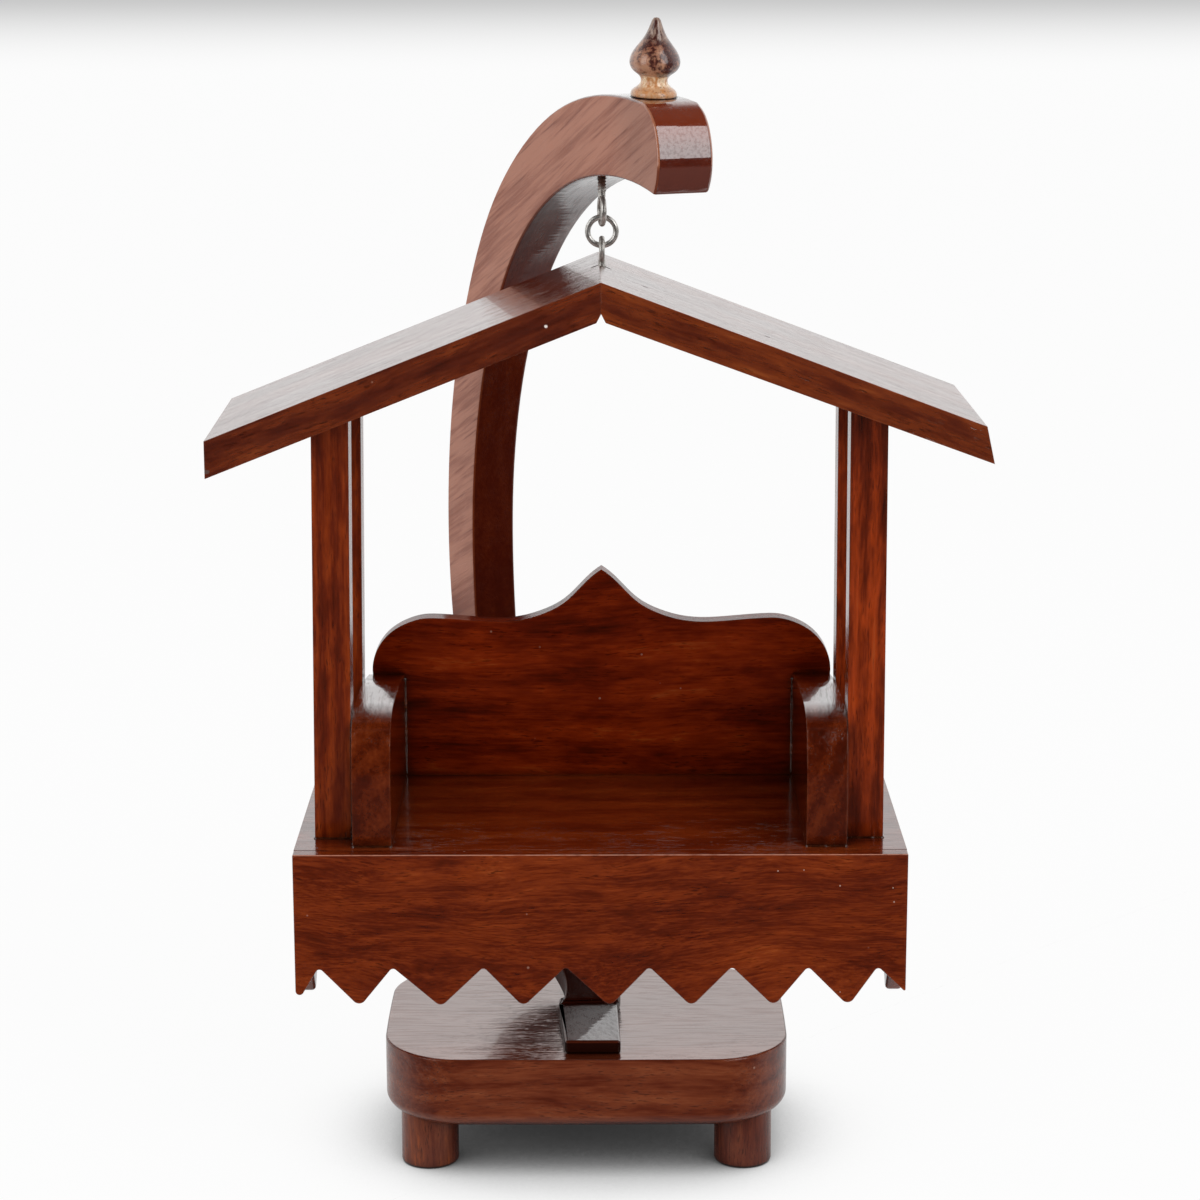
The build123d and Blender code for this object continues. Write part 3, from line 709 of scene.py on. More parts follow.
        # painted sheen: the sides are pale by the way they face
        planed = sheet.between(self.side_facing(sheet), 0.80, 0.93)
        wide = sheet.layer(turned, self.WIDE_BAND)[0]
        narrow = sheet.layer(turned, self.NARROW_BAND)[0]
        band = sheet.scaled(narrow, 0.4, sheet.times(wide, 0.6))
        pale = sheet.mix(sheet.between(band, 0.40, 0.58), self.pale_dark, self.pale_light)
        pale = sheet.mix(0.86, shade, pale)
        pale = sheet.cover(pale, sheet.between(narrow, 0.40, 0.28), 0.5, self.pale_line)
        toward = sheet.between(sheet.measure("DOT_PRODUCT", place, self.heading), 0.020, 0.056, 0.0, 0.9)
        pale = sheet.mix(toward, pale, sheet.mix(1.0, pale, self.nose_tone, "MULTIPLY"))
        # the painted sheen stops low on the arm
        above = sheet.between(sheet.split(place)[2], *self.pale_from)
        shade = sheet.mix(sheet.times(planed, above), shade, pale)
        rough = sheet.scaled(planed, self.pale_rough, rough)
        return shade, rough, sheet.times(coat, sheet.minus(1.0, planed))


@dataclass(frozen=True)
class SteelFinish:
    """Plain steel wire or screw, a little dulled, and rusty above a height if one is given."""

    DRAWN = Layer((3000.0, 3000.0, 300.0), 2.0, 0.5)
    TARNISH_REPEATS = 420.0

    name: str
    bright: Rgb = (0.62, 0.60, 0.57)
    dull: Rgb = (0.22, 0.20, 0.18)
    rust: Rgb = (0.10, 0.035, 0.018)
    rust_above: float | None = None
    rust_start: float = 0.002
    rust_depth: float = 0.004
    gloss: float = 0.22
    metal: float = 0.8

    def make(self) -> bpy.types.Material:
        """Build the material.

        Returns:
            The material.
        """
        material, sheet = new_material(self.name)
        place = sheet.coordinate("Object")
        tarnish = sheet.noise(place, self.TARNISH_REPEATS, 4.0, 0.6)[0]
        shade = sheet.mix(sheet.between(tarnish, 0.38, 0.66), self.bright, self.dull)
        rough = sheet.scaled(tarnish, 0.22, self.gloss)
        metal = self.metal
        if self.rust_above is not None:
            start = self.rust_above + self.rust_start
            height = sheet.scaled(tarnish, 0.004, sheet.split(place)[2])
            rusty = sheet.between(height, start, start + self.rust_depth)
            shade = sheet.mix(rusty, shade, self.rust)
            metal = sheet.scaled(rusty, -0.6, self.metal)
            rough = sheet.scaled(rusty, 0.15, rough)
        inputs = {"Strength": 0.15, "Distance": 0.00005, "Height": sheet.layer(place, self.DRAWN)[0]}
        normal = sheet.add("ShaderNodeBump", inputs).outputs[0]
        inputs = {"Base Color": shade, "Roughness": rough, "Metallic": metal, "Normal": normal}
        sheet.show(sheet.add("ShaderNodeBsdfPrincipled", inputs))
        return material


@dataclass(frozen=True)
class FinialFinish:
    """Turned finial: gold foot and neck, mottled brown bulb, dark tip streaked with painted grey highlights, a painted
    shadow line at its foot. Spans are heights on it.
    """

    DRIP = Layer((620.0, 620.0, 170.0), 4.0, 0.7)
    MOTTLE_REPEATS = 900.0
    PATCH_REPEATS = 330.0

    name: str
    foot_at: float
    axis_x: float
    lean: Triple = (0.034, -0.080, 0.996)
    gold: Rgb = (0.60, 0.26, 0.095)
    cream: Rgb = (0.95, 0.72, 0.48)
    neck_fleck: Rgb = (0.20, 0.065, 0.028)
    collar_gold: Rgb = (0.64, 0.36, 0.19)
    collar_fleck: Rgb = (0.17, 0.045, 0.016)
    tan: Rgb = (0.44, 0.215, 0.125)
    brown: Rgb = (0.060, 0.014, 0.010)
    bulb_fleck: Rgb = (0.26, 0.090, 0.052)
    # painted highlight: grey streaks on the dark tip
    tip_highlight_grey: Rgb = (0.33, 0.22, 0.17)
    # painted shadow line where the finial sits on the arm
    joint_dark_and_shadow: Rgb = (0.020, 0.005, 0.003)
    collar_top: Span = (0.0062, 0.0048)
    bulb_from: Span = (0.0086, 0.0096)
    tip_from: Span = (0.0195, 0.0225)
    joint_top: Span = (0.0015, 0.0010)

    def make(self) -> bpy.types.Material:
        """Build the material.

        Returns:
            The material.
        """
        material, sheet = new_material(self.name)
        place = sheet.coordinate("Object")
        height = sheet.minus(sheet.measure("DOT_PRODUCT", place, self.lean), self.foot_at)
        mottle = sheet.noise(place, self.MOTTLE_REPEATS, 5.0, 0.74)[0]
        patch = sheet.noise(place, self.PATCH_REPEATS, 2.0, 0.5)[0]
        drip = sheet.layer(place, self.DRIP)[0]
        level = sheet.scaled(mottle, 0.0022, height)
        neck = sheet.mix(sheet.between(drip, 0.44, 0.60), self.cream, self.gold)
        neck = sheet.mix(sheet.between(mottle, 0.56, 0.68, 0.0, 0.8), neck, self.neck_fleck)
        collar = sheet.mix(sheet.between(drip, 0.40, 0.56), self.gold, self.collar_gold)
        collar = sheet.mix(sheet.between(mottle, 0.55, 0.64, 0.0, 0.9), collar, self.collar_fleck)
        shade = sheet.mix(sheet.between(level, *self.collar_top), neck, collar)
        blend = sheet.scaled(patch, 0.55, sheet.times(mottle, 0.45))
        blend = sheet.scaled(height, 9.0, blend)
        blend = sheet.scaled(sheet.minus(sheet.split(place)[0], self.axis_x), 11.0, blend)
        bulb = sheet.mix(sheet.between(blend, 0.55, 0.67), self.tan, self.brown)
        bulb = sheet.mix(sheet.between(mottle, 0.47, 0.41, 0.0, 0.75), bulb, self.bulb_fleck)
        # painted highlight streaks on the tip
        tip = sheet.mix(sheet.between(drip, 0.40, 0.60), self.tip_highlight_grey, self.brown)
        shade = sheet.mix(sheet.between(level, *self.bulb_from), shade, bulb)
        shade = sheet.mix(sheet.between(level, *self.tip_from), shade, tip)
        # painted shadow line at the finial's foot
        shade = sheet.mix(sheet.between(height, *self.joint_top), shade, self.joint_dark_and_shadow)
        rough = sheet.scaled(mottle, 0.25, 0.12)
        inputs = {"Strength": 0.35, "Distance": 0.0003, "Height": mottle}
        normal = sheet.add("ShaderNodeBump", inputs).outputs[0]
        inputs = {"Base Color": shade, "Roughness": rough, "Normal": normal, "Coat Weight": 0.8, "Coat Roughness": 0.08}
        sheet.show(sheet.add("ShaderNodeBsdfPrincipled", inputs))
        return material


# -------------------------------------------------------------------- shapes
def new_piece(name: str, shape: bmesh.types.BMesh) -> bpy.types.Object:
    """Turn a shape into a smooth-shaded piece.

    Args:
        name: The piece's name.
        shape: Its geometry, which is freed.

    Returns:
        The piece, linked to the scene.
    """
    for face in shape.faces:
        face.smooth = True
    mesh = bpy.data.meshes.new(name)
    shape.to_mesh(mesh)
    shape.free()
    piece = bpy.data.objects.new(name, mesh)
    bpy.context.scene.collection.objects.link(piece)
    return piece


def even_out(piece: bpy.types.Object) -> None:
    """Let a piece's large faces lead its shading.

    Args:
        piece: The piece.
    """
    even = piece.modifiers.new("even shading", "WEIGHTED_NORMAL")
    even.keep_sharp = False
    even.weight = 50


def soften(piece: bpy.types.Object, width: float) -> None:
    """Round the edges of a frame piece without touching its own mesh.

    Args:
        piece: The piece.
        width: Width of the rounding, in metres.
    """
    weld = piece.modifiers.new("joined corners", "WELD")
    weld.merge_threshold = WELD
    flat = piece.modifiers.new("whole faces", "DECIMATE")
    flat.decimate_type = "DISSOLVE"
    flat.angle_limit = FLAT
    bevel = piece.modifiers.new("rounded edges", "BEVEL")
    bevel.width = width
    bevel.segments = ROUND_STEPS
    bevel.limit_method = "ANGLE"
    bevel.angle_limit = SHARP
    bevel.miter_outer = "MITER_ARC"
    even_out(piece)


def welded(source: bpy.types.Object) -> bmesh.types.BMesh:
    """Copy a frame piece's mesh, with its corners joined and its faces whole.

    Args:
        source: The piece.

    Returns:
        The copy.
    """
    shape = bmesh.new()
    shape.from_mesh(source.data)
    bmesh.ops.remove_doubles(shape, verts=shape.verts, dist=WELD)
    bmesh.ops.dissolve_limit(shape, angle_limit=FLAT, verts=shape.verts, edges=shape.edges)
    return shape


def turns_more(edge: bmesh.types.BMEdge, angle: float) -> bool:
    """Return whether the faces at an edge turn by more than an angle."""
    return len(edge.link_faces) == 2 and edge.calc_face_angle(0.0) > angle


def round_off(shape: bmesh.types.BMesh, edges: Sequence[bmesh.types.BMEdge], width: float) -> None:
    """Round some of a shape's edges."""
    rounding = {"offset": width, "offset_type": "OFFSET", "segments": ROUND_STEPS, "profile": 0.5}
    bmesh.ops.bevel(shape, geom=edges, affect="EDGES", clamp_overlap=False, **rounding)


def tube(
    name: str, path: Sequence[Vector], radii: Sequence[float], closed: bool = False, sides: int = 8
) -> bpy.types.Object:
    """Build a round tube whose thickness changes along a path.

    Args:
        name: The new piece's name.
        path: Points along its middle, in metres.
        radii: Radius at each point, in metres.
        closed: Whether the last point joins the first.
        sides: Faces round the tube.

    Returns:
        The piece, linked to the scene.
    """
    shape = bmesh.new()
    rings = []
    for k, point in enumerate(path):
        before = path[k - 1] if k or closed else point
        after = path[(k + 1) % len(path)] if k + 1 < len(path) or closed else point
        ahead = (after - before).normalized()
        side = ahead.orthogonal() if abs(ahead.z) > 0.9 else ahead.cross(Vector(UPRIGHT))
        side.normalize()
        up = side.cross(ahead)
        turns = [FULL_TURN * i / sides for i in range(sides)]
        rings.append([shape.verts.new(point + (side * math.cos(t) + up * math.sin(t)) * radii[k]) for t in turns])
    for a, b in list(zip(rings, rings[1:])) + ([(rings[-1], rings[0])] if closed else []):
        for i in range(sides):
            shape.faces.new((a[i], a[(i + 1) % sides], b[(i + 1) % sides], b[i]))
    if not closed:
        shape.faces.new(rings[0][::-1])
        shape.faces.new(rings[-1])
    bmesh.ops.recalc_face_normals(shape, faces=shape.faces)
    return new_piece(name, shape)


def walk(corners: Sequence[Triple], step: float, closed: bool = False) -> list[Vector]:
    """Space points evenly along the straight runs between corners.

    Args:
        corners: The corners, in metres.
        step: The longest distance between points.
        closed: Whether the last corner joins the first.

    Returns:
        The points.
    """
    marks = [Vector(c) for c in corners]
    legs = list(zip(marks, marks[1:])) + ([(marks[-1], marks[0])] if closed else [])
    points = []
    for a, b in legs:
        count = max(int((b - a).length / step), 1)
        points += [a.lerp(b, i / count) for i in range(count)]
    return points if closed else points + [marks[-1]]


# -------------------------------------------------------------------- pieces
@dataclass
class Assembly:
    """A sub-assembly, which notes each piece that it dresses."""

    effects: Effects
    dressed: list[str] = field(default_factory=list, init=False)

    def dress(self, piece: bpy.types.Object, material: bpy.types.Material) -> None:
        """Give a piece one material.

        Args:
            piece: The piece.
            material: Its material.
        """
        piece.data.materials.clear()
        piece.data.materials.append(material)
        self.dressed.append(piece.name)


@dataclass
class Stand(Assembly):
    """Base slab, feet, crescent arm and finial."""

    arm_turn: float = math.radians(67.0)
    arm_edge: float = 0.0011
    grain_rise: float = math.radians(23.0)
    finial_height: float = 0.0274
    finial_clear: float = 0.0095
    slab_half: Span = (0.07335, 0.0497)
    slab_corner: Span = (0.020, 0.027)
    slab_edge: float = 0.0005
    slab_edge_angle: float = math.radians(50.0)
    slab_bow: float = 0.0010
    slab_drop: float = 0.0028
    drop_below: float = 0.002
    drop_unused: float = 0.010
    long_edge: float = 0.03
    long_cuts: int = 7
    top_tilt: float = 0.9

    def build(self) -> None:
        """Shape and dress the stand's pieces."""
        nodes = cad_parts
        side = WoodFinish(
            "base side sheesham", gloss=0.12, coat=0.10, grain_depth=0.3, shine=0.5, spec_tint=(1.0, 0.84, 0.80),
            dark=(0.030, 0.006, 0.003), middle=(0.102, 0.017, 0.0064), light=(0.172, 0.038, 0.014),
            bright=(0.27, 0.073, 0.027), wander=0.02, shift=(0.3, 0.1, 0.4),
        )
        top = replace(
            side, name="base top sheesham", gloss=0.065, coat=0.6, grain_depth=0.2, shine=0.58, feather=0.5, ior=3.0,
            coat_streak=0.15,
        )
        slab = self.shape_slab(nodes["base_slab"])
        self.dress(slab, side.make(self.effects))
        slab.data.materials.append(top.make(self.effects))
        for face in slab.data.polygons:
            face.material_index = 1 if face.normal.z > self.top_tilt else 0
        foot = WoodFinish(
            "foot sheesham", along=UPRIGHT, middle=(0.098, 0.016, 0.006), light=(0.165, 0.036, 0.013), gloss=0.24,
            coat=0.1, shine=0.4,
        ).make(self.effects)
        for name in ("foot_front_left", "foot_front_right", "foot_rear_left", "foot_rear_right"):
            self.dress(nodes[name], foot)
        heading = Vector((math.cos(self.arm_turn), -math.sin(self.arm_turn), 0.0))
        along = heading * math.cos(self.grain_rise) + Vector((0.0, 0.0, math.sin(self.grain_rise)))
        arm = ArmFinish(
            "arm sheesham", along=tuple(along), across=(-math.sin(self.arm_turn), -math.cos(self.arm_turn), 0.0),
            shift=(0.1, 0.5, 0.2), middle=(0.085, 0.0095, 0.0022), light=(0.17, 0.025, 0.0045), figure=0.05, coat=1.0,
            coat_ior=2.05, coat_streak=0.7, grain_depth=0.3, feather=0.10, shine=0.12, heading=tuple(heading),
        )
        self.dress(self.round_arm(nodes["arm"]), arm.make(self.effects))
        low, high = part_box("finial")
        middle = (low + high) / 2.0
        foot_at = middle.dot(Vector(FinialFinish.lean).normalized()) - self.finial_height / 2.0
        self.dress(nodes["finial"], FinialFinish("finial lacquer", foot_at, middle.x).make())
        self.dress(nodes["arm_screws"], SteelFinish("screw steel").make())
        pin = WoodFinish("dowel sheesham", along=UPRIGHT, light=(0.4, 0.22, 0.1))
        self.dress(nodes["finial_dowel"], pin.make(self.effects))

    def stand_in(self, name: str, shape: bmesh.types.BMesh, node: str) -> bpy.types.Object:
        """Turn a shape into a piece that stands for one of the stand's nodes.

        Args:
            name: The new piece's name.
            shape: Its geometry, which is freed.
            node: The node it stands for.

        Returns:
            The piece.
        """
        piece = new_piece(name, shape)
        even_out(piece)
        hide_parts(node)
        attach(piece, Body.STAND.value)
        return piece

    def round_arm(self, source: bpy.types.Object) -> bpy.types.Object:
        """Round the arm's long edges, leaving the finial's seat as it was cut.

        Args:
            source: The arm as it was packed.

        Returns:
            The rounded arm, which stands for it.
        """
        low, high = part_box("finial")
        seat = (low + high) / 2.0
        seat.z = low.z
        shape = welded(source)
        edges = [
            edge for edge in shape.edges
            if all((vert.co - seat).length > self.finial_clear for vert in edge.verts) and turns_more(edge, SHARP)
        ]
        round_off(shape, edges, self.arm_edge)
        return self.stand_in("crescent_arm", shape, "arm")

    def shape_slab(self, source: bpy.types.Object) -> bpy.types.Object:
        """Give the slab its wide corners, bowed front and ends and full lower edge.

        Args:
            source: The slab as it was packed.

        Returns:
            The shaped slab, which stands for it.
        """
        half_x, half_y = self.slab_half
        cut, wide = self.slab_corner
        shape = welded(source)
        long_edges = [edge for edge in shape.edges if edge.calc_length() > self.long_edge]
        bmesh.ops.subdivide_edges(shape, edges=long_edges, cuts=self.long_cuts)
        top = max(vert.co.z for vert in shape.verts)
        bottom = min(vert.co.z for vert in shape.verts)
        for vert in shape.verts:
            out = Vector((abs(vert.co.x) - (half_x - cut), abs(vert.co.y) - (half_y - cut)))
            x = half_x - wide + out.x * wide / cut if out.x > 0.0 else abs(vert.co.x) * (half_x - wide) / (half_x - cut)
            y = half_y - wide + out.y * wide / cut if out.y > 0.0 else abs(vert.co.y) * (half_y - wide) / (half_y - cut)
            x += self.slab_bow * (1.0 - (y / half_y) ** 2) * (x / half_x) ** 2
            if vert.co.y < 0.0:
                y += self.slab_bow * (1.0 - (x / half_x) ** 2) * (y / half_y) ** 2
            vert.co.x = math.copysign(x, vert.co.x)
            vert.co.y = math.copysign(y, vert.co.y)
            share = min(max((top - self.drop_below - vert.co.z) / (top - bottom - self.drop_unused), 0.0), 1.0)
            vert.co.z -= self.slab_drop * share
        rim = [
            edge for edge in shape.edges
            if turns_more(edge, self.slab_edge_angle) and min(vert.co.z for vert in edge.verts) > top - 1e-5
        ]
        round_off(shape, rim, self.slab_edge)
        return self.stand_in("slab", shape, "base_slab")


@dataclass
class HangingParts(Assembly):
    """Two screw eyes and the ring between them."""

    upper_loop: float = 0.0116
    lower_loop: float = 0.0097
    thread_pitch: float = 0.0011
    thread_rise: float = 0.0088
    thread_radius: float = 0.00133
    thread_wire: float = 0.00026
    thread_taper: float = 0.15
    thread_steps: int = 16
    thread_sides: int = 6

    def build(self) -> None:
        """Dress the hanging parts and wind the eyes' threads."""
        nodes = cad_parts
        ring = SteelFinish("ring steel", gloss=0.2, bright=(0.78, 0.76, 0.73), dull=(0.42, 0.40, 0.37))
        self.dress(nodes["ring"], ring.make())
        for body, rise, loop in ((Body.UPPER_EYE, 1.0, self.upper_loop), (Body.LOWER_EYE, -1.0, self.lower_loop)):
            name = body.value
            low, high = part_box(name)
            start = low.z + loop if rise > 0 else high.z - loop
            steel = SteelFinish(
                f"{name} steel", bright=(0.74, 0.71, 0.67), dull=(0.36, 0.33, 0.30),
                rust_above=start if rise > 0 else None,
            ).make()
            self.dress(nodes[name], steel)
            foot = ((low.x + high.x) / 2.0, (low.y + high.y) / 2.0, start)
            thread = self.thread(f"{name}_thread", foot, rise)
            self.dress(thread, steel)
            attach(thread, name)

    def thread(self, name: str, foot: Triple, rise: float) -> bpy.types.Object:
        """Wind the screw thread round an eye's shank.

        Args:
            name: The piece's name.
            foot: Where the thread starts, on the shank's axis.
            rise: 1 upwards, -1 downwards.

        Returns:
            The thread.
        """
        x, y, start = foot
        turns = self.thread_rise / self.thread_pitch
        path = []
        radii = []
        for k in range(int(turns * self.thread_steps) + 1):
            t = k / self.thread_steps
            angle = FULL_TURN * t
            at = Vector((x + self.thread_radius * math.cos(angle), y + self.thread_radius * math.sin(angle), 0.0))
            at.z = start + rise * self.thread_pitch * t
            path.append(at)
            radii.append(self.thread_wire * min(1.0, self.thread_taper + t, self.thread_taper + turns - t))
        return tube(name, path, radii, sides=self.thread_sides)


@dataclass
class Swing(Assembly):
    """Roof, posts, seat, armrests and backrest."""

    post_size: float = 0.0132
    armrest_rear: float = 0.0402
    roof_edge: float = 0.0008
    board_edge: float = 0.0007
    skirt_edge: float = 0.0016
    fascia_front: float = -0.0556
    bead_step: float = 0.0007
    bead_seed: int = 40

    def build(self) -> None:
        """Dress the swing's pieces and lay the lacquer's beads."""
        self.dress_roof()
        self.dress_posts()
        self.dress_seat()
        self.dress_sides()
        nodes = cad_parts
        steel = SteelFinish("swing screw steel").make()
        for name in ("post_screws", "armrest_screws", "backrest_screws", "ridge_pins"):
            self.dress(nodes[name], steel)
        pin = WoodFinish("post dowel sheesham", along=UPRIGHT, light=(0.4, 0.22, 0.1))
        self.dress(nodes["post_dowels"], pin.make(self.effects))
        self.lay_beads()

    def finish_board(self, name: str, finish: WoodFinish, edge: float) -> None:
        """Dress a board and round its edges."""
        self.dress(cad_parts[name], finish.make(self.effects))
        soften(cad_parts[name], edge)

    def dress_roof(self) -> None:
        """Dress the roof boards, with their knots, nicks and the split marks round the eye."""
        pale, black, split = (0.80, 0.72, 0.66), (0.004, 0.001, 0.001), (0.7, 1.5, 1.0)
        left = WoodFinish(
            "roof left sheesham", middle=(0.086, 0.0100, 0.0020), light=(0.165, 0.025, 0.0040),
            bright=(0.28, 0.060, 0.010), spots=(
                Spot((-0.01289, -0.05222, 0.31244), 0.0007, pale),
                Spot((-0.1304, -0.0537, 0.26243), 0.0016, (0.10, 0.03, 0.015), (1.0, 0.5, 1.6)),
                Spot((0.0045, 0.0005, 0.3265), 0.0018, black, split),
            ),
        )
        right = WoodFinish(
            "roof right sheesham", middle=(0.095, 0.0115, 0.0020), light=(0.190, 0.031, 0.0042),
            bright=(0.33, 0.075, 0.012), spots=(
                Spot((0.02146, -0.01514, 0.32131), 0.0009, (0.06, 0.012, 0.006), (0.6, 1.0, 1.0)),
                Spot((0.06397, -0.02801, 0.30529), 0.0008, (0.05, 0.010, 0.005), (0.5, 1.0, 1.0)),
                Spot((0.0077, 0.0005, 0.3265), 0.0018, black, split),
            ),
        )
        for side, slope, finish in (("left", 54.3 / 136.9, left), ("right", -50.2 / 133.2, right)):
            board = replace(
                finish, along=(1.0, 0.0, slope), shift=(0.2, 0.3, 0.9 + slope), gloss=0.12, coat=0.4, side_coat=0.25,
                coat_streak=0.1, feather=0.45, ior=1.85, upper_edge_highlight=0.85, rub_reach=0.0008,
            )
            self.finish_board(f"roof_board_{side}", board, self.roof_edge)

    def dress_posts(self) -> None:
        """Dress the posts, each with its own run of grain and the right ones brighter."""
        for k, name in enumerate(POSTS):
            post = WoodFinish(
                f"{name} sheesham", along=UPRIGHT, shift=(0.13 * k, 0.27 * k, 0.4), ring_width=0.006, wander=0.006,
                middle=(0.125, 0.0125, 0.0012), light=(0.27 + 0.05 * (k % 2), 0.036, 0.0025), figure=0.07,
            )
            self.finish_board(name, post, self.board_edge)

    def dress_seat(self) -> None:
        """Dress the seat board, the fascia with its pale specks, and the backrest."""
        specks = tuple(
            Spot((x, self.fascia_front, z), size * 0.7, (0.40, 0.25, 0.19))
            for x, z, size in (
                (0.0683, 0.1187, 0.0005), (0.0904, 0.1131, 0.0005), (0.1092, 0.1123, 0.0004), (0.1097, 0.1071, 0.0005),
                (0.0910, 0.0733, 0.0004), (0.0775, 0.1190, 0.0004),
            )
        )
        boards = {
            "seat_board": {"shift": (0.5, 0.2, 0.1), "coat": 0.5, "wander": 0.010, "feather": 0.25, "ior": 1.9},
            "front_fascia": {
                "shift": (0.02, 0.0, 0.0), "wander": 0.040, "figure": 0.03, "swirl": 1.5, "fibre": 0.22,
                "spots": specks, "upper_edge_highlight": 0.8, "rub_reach": 0.0008,
            },
            "backrest": {
                "shift": (0.7, 0.9, 0.3), "wander": 0.014, "middle": (0.122, 0.0090, 0.0008),
                "light": (0.235, 0.022, 0.0018), "coat": 0.1, "shine": 0.15,
            },
        }
        for name, looks in boards.items():
            self.finish_board(name, WoodFinish(f"{name} sheesham", gloss=0.12, **looks), self.board_edge)

    def dress_sides(self) -> None:
        """Dress the skirts and the armrests, which are darker and glossier."""
        for k, name in enumerate(("side_skirt_left", "side_skirt_right", "armrest_left", "armrest_right")):
            board = WoodFinish(
                f"{name} sheesham", along=BACKWARD, across=(1.0, 0.0, 0.0), shift=(0.1, 0.23 * k, 0.5), gloss=0.12,
                coat=1.0 if "armrest" in name else 0.3, middle=(0.066, 0.0068, 0.0012),
                light=(0.125, 0.017, 0.0026), bright=(0.24, 0.045, 0.010),
            )
            self.finish_board(name, board, self.skirt_edge if "skirt" in name else self.board_edge)

    def bead_routes(self) -> dict[str, tuple[list[Triple], bool, float]]:
        """Find where lacquer and glue pooled along the seat's joints.

        Returns:
            Corners, whether they close, and the bead's radius, by the bead's name.
        """
        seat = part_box("seat_board")[1].z
        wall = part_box("backrest")[0].y
        routes = {}
        for name in POSTS:
            low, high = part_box(name)
            left = low.x if "left" in name else high.x - self.post_size
            right = left + self.post_size
            corners = [(left, low.y, seat), (right, low.y, seat), (right, high.y, seat), (left, high.y, seat)]
            routes[f"{name}_bead"] = (corners, True, 0.00062)
        for side in ("left", "right"):
            low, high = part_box(f"armrest_{side}")
            inner, outer = (high.x, low.x) if side == "left" else (low.x, high.x)
            foot = [(outer, low.y, seat), (inner, low.y, seat), (inner, wall, seat)]
            rise = [(inner, wall, seat + 0.0006), (inner, wall, seat + self.armrest_rear - 0.0015)]
            routes[f"armrest_{side}_bead"] = (foot, False, 0.00060)
            routes[f"armrest_{side}_back_bead"] = (rise, False, 0.00065)
        return routes

    def lay_beads(self) -> None:
        """Lay the lumpy beads of lacquer and glue along the seat's joints."""
        lacquer = WoodFinish(
            "pooled lacquer", dark=(0.010, 0.002, 0.001), middle=(0.022, 0.004, 0.002), light=(0.05, 0.009, 0.003),
            gloss=0.06, coat=1.0, coat_rough=0.03,
        ).make(self.effects)
        for k, (name, (corners, closed, size)) in enumerate(self.bead_routes().items()):
            chance = random.Random(self.bead_seed + k)
            path = walk(corners, self.bead_step, closed)
            lumps = [size * (0.55 + 0.75 * chance.random() ** 2) for _ in path]
            radii = [(lumps[i - 1] + 2.0 * lumps[i] + lumps[(i + 1) % len(lumps)]) / 4.0 for i in range(len(lumps))]
            bead = tube(name, path, radii, closed)
            self.dress(bead, lacquer)
            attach(bead, Body.SWING.value)


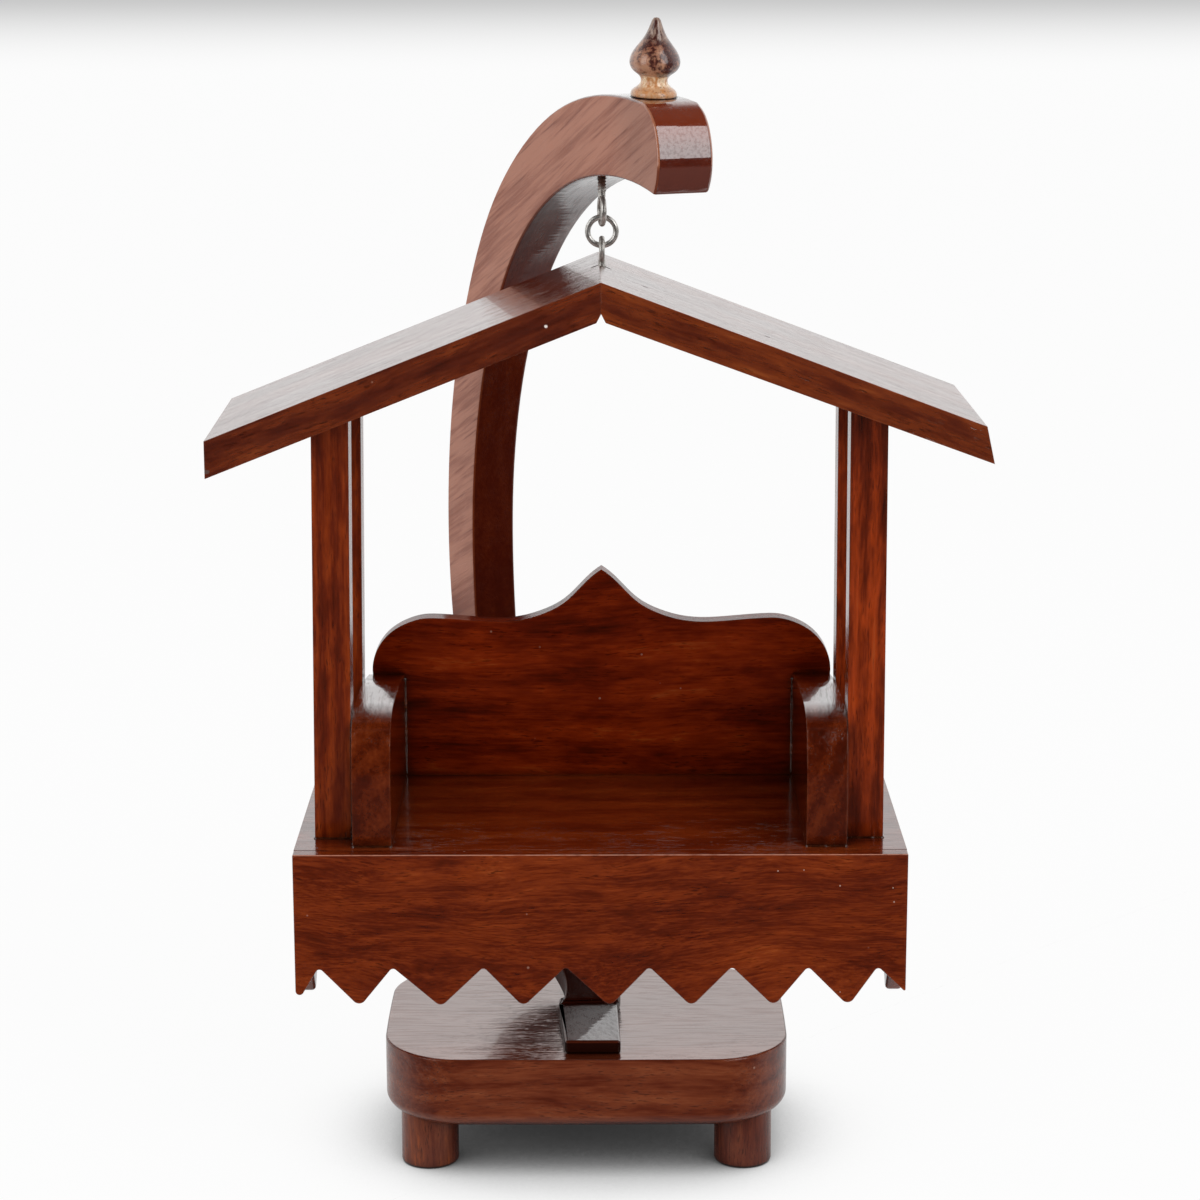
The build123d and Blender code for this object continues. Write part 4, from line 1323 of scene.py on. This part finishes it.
# --------------------------------------------------------------------- stage
@dataclass
class Studio:
    """Floor, soft boxes, surroundings and camera."""

    lens: float = 92.6745
    sensor: float = 36.0
    sees: Span = (0.05, 60.0)
    camera_at: Triple = (0.00538, -1.10193, 0.45602)
    pitch: float = math.radians(12.85)
    roll: float = math.radians(0.11)
    floor_reach: float = 24.0
    floor_shade: Rgb = (0.86, 0.86, 0.86)
    far_shade: Rgb = (0.57, 0.57, 0.57)
    far_from: Span = (7.0, 14.0)
    mirrored_behind: Rgb = (0.75, 0.75, 0.75)
    mirrored_front: Rgb = (0.03, 0.03, 0.03)
    floor_seen: float = 0.94
    shadow_reach: float = 0.07
    shadow_dark: float = 0.026
    box_aim: Triple = (0.0, 0.0, 0.3)
    box_tilt: float = 0.35
    ambient: float = 0.6
    overhead: float = 0.09

    def place_camera(self) -> None:
        """Put the camera in front of the swing, looking a little down."""
        camera = bpy.data.objects.new("camera", bpy.data.cameras.new("camera"))
        bpy.context.scene.collection.objects.link(camera)
        ahead = Vector((0.0, math.cos(self.pitch), -math.sin(self.pitch)))
        up = Vector((0.0, math.sin(self.pitch), math.cos(self.pitch)))
        side = Vector((1.0, 0.0, 0.0))
        c, s = math.cos(self.roll), math.sin(self.roll)
        turned = Matrix((side * c - up * s, side * s + up * c, -ahead)).transposed()
        camera.matrix_world = Matrix.Translation(self.camera_at) @ turned.to_4x4()
        camera.data.lens = self.lens
        camera.data.sensor_width = self.sensor
        camera.data.clip_start, camera.data.clip_end = self.sees
        bpy.context.scene.camera = camera

    def lay_floor(self) -> None:
        """Lay a pale floor that keeps a soft shadow."""
        r = self.floor_reach
        mesh = bpy.data.meshes.new("floor")
        mesh.from_pydata([(-r, -r, 0), (r, -r, 0), (r, r, 0), (-r, r, 0)], [], [(0, 1, 2, 3)])
        floor = bpy.data.objects.new("floor", mesh)
        bpy.context.scene.collection.objects.link(floor)
        material, sheet = new_material("pale floor")
        back = sheet.split(sheet.coordinate("Object"))[1]
        ray = sheet.add("ShaderNodeLightPath").outputs
        glow = sheet.mix(sheet.between(back, *self.far_from), WHITE, self.far_shade)
        mirrored = sheet.mix(sheet.between(back, -0.02, -0.12), self.mirrored_behind, self.mirrored_front)
        glow = sheet.mix(ray["Is Glossy Ray"], glow, mirrored)
        inputs = {"Color": (*WHITE, 1.0), "Distance": self.shadow_reach}
        near = sheet.add("ShaderNodeAmbientOcclusion", inputs, samples=12).outputs["AO"]
        shadow = sheet.between(near, 0.10, 0.90, self.shadow_dark, 1.0)
        lit = sheet.add("ShaderNodeEmission", {"Color": glow, "Strength": shadow}).outputs[0]
        plain = sheet.add("ShaderNodeBsdfDiffuse", {"Color": (*self.floor_shade, 1.0)}).outputs[0]
        seen = sheet.most(ray["Is Glossy Ray"], ray["Is Transmission Ray"])
        seen = sheet.most(seen, sheet.times(ray["Is Camera Ray"], self.floor_seen))
        sheet.show(sheet.add("ShaderNodeMixShader", {0: seen, 1: plain, 2: lit}))
        mesh.materials.append(material)

    def hang_boxes(self) -> None:
        """Hang a soft box on each side of the camera."""
        boxes = (
            ("soft_box_right", (0.95, -0.92, 1.15), (0.7, 1.6), 2.9),
            ("soft_box_left", (-1.05, -0.80, 0.80), (0.6, 1.3), 2.0),
        )
        for name, at, (wide, tall), strength in boxes:
            data = bpy.data.lights.new(name, "AREA")
            data.shape = "RECTANGLE"
            data.size, data.size_y = wide, tall
            data.energy = strength * wide * tall * math.pi
            lamp = bpy.data.objects.new(name, data)
            bpy.context.scene.collection.objects.link(lamp)
            lamp.location = at
            aim = Vector(self.box_aim) - Vector(at)
            aim.z *= self.box_tilt
            lamp.rotation_euler = aim.to_track_quat("-Z", "Y").to_euler()

    def surround(self) -> None:
        """Set the pale surroundings, which reflections see only behind the swing and not overhead."""
        world = bpy.data.worlds.new("surroundings")
        bpy.context.scene.world = world
        world.use_nodes = True
        world.node_tree.nodes.clear()
        sheet = NodeSheet(world.node_tree)
        _, back, rise = sheet.split(sheet.coordinate("Generated"))
        ray = sheet.add("ShaderNodeLightPath").outputs
        behind = sheet.between(back, -0.35, 0.10)
        glow = sheet.times(behind, sheet.between(rise, 0.55, 0.88, 1.0, self.overhead))
        mirrored = sheet.add("ShaderNodeCombineColor", {0: glow, 1: glow, 2: glow}).outputs[0]
        backdrop = sheet.mix(ray["Is Glossy Ray"], WHITE, mirrored)
        seen = sheet.most(ray["Is Glossy Ray"], ray["Is Transmission Ray"])
        seen = sheet.most(seen, ray["Is Camera Ray"])
        ambient = sheet.add("ShaderNodeBackground", {"Color": (*WHITE, 1.0), "Strength": self.ambient}).outputs[0]
        shown = sheet.add("ShaderNodeBackground", {"Color": backdrop, "Strength": 1.0}).outputs[0]
        surface = sheet.add("ShaderNodeMixShader", {0: seen, 1: ambient, 2: shown})
        sheet.show(surface, "ShaderNodeOutputWorld")

    def build(self) -> None:
        """Set the camera, floor, lights and plain colours."""
        self.place_camera()
        self.lay_floor()
        self.hang_boxes()
        self.surround()
        bpy.context.scene.view_settings.view_transform = "Standard"


def main() -> None:
    """Build the studio and the swing, and report each piece."""
    logging.basicConfig(level=logging.INFO)
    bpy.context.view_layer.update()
    effects = Effects()
    Studio().build()
    for assembly in (Stand(effects), HangingParts(effects), Swing(effects)):
        assembly.build()
        for name in assembly.dressed:
            log.info("%s: %s", type(assembly).__name__, name)
    bpy.context.view_layer.update()


if __name__ == "__main__":
    main()
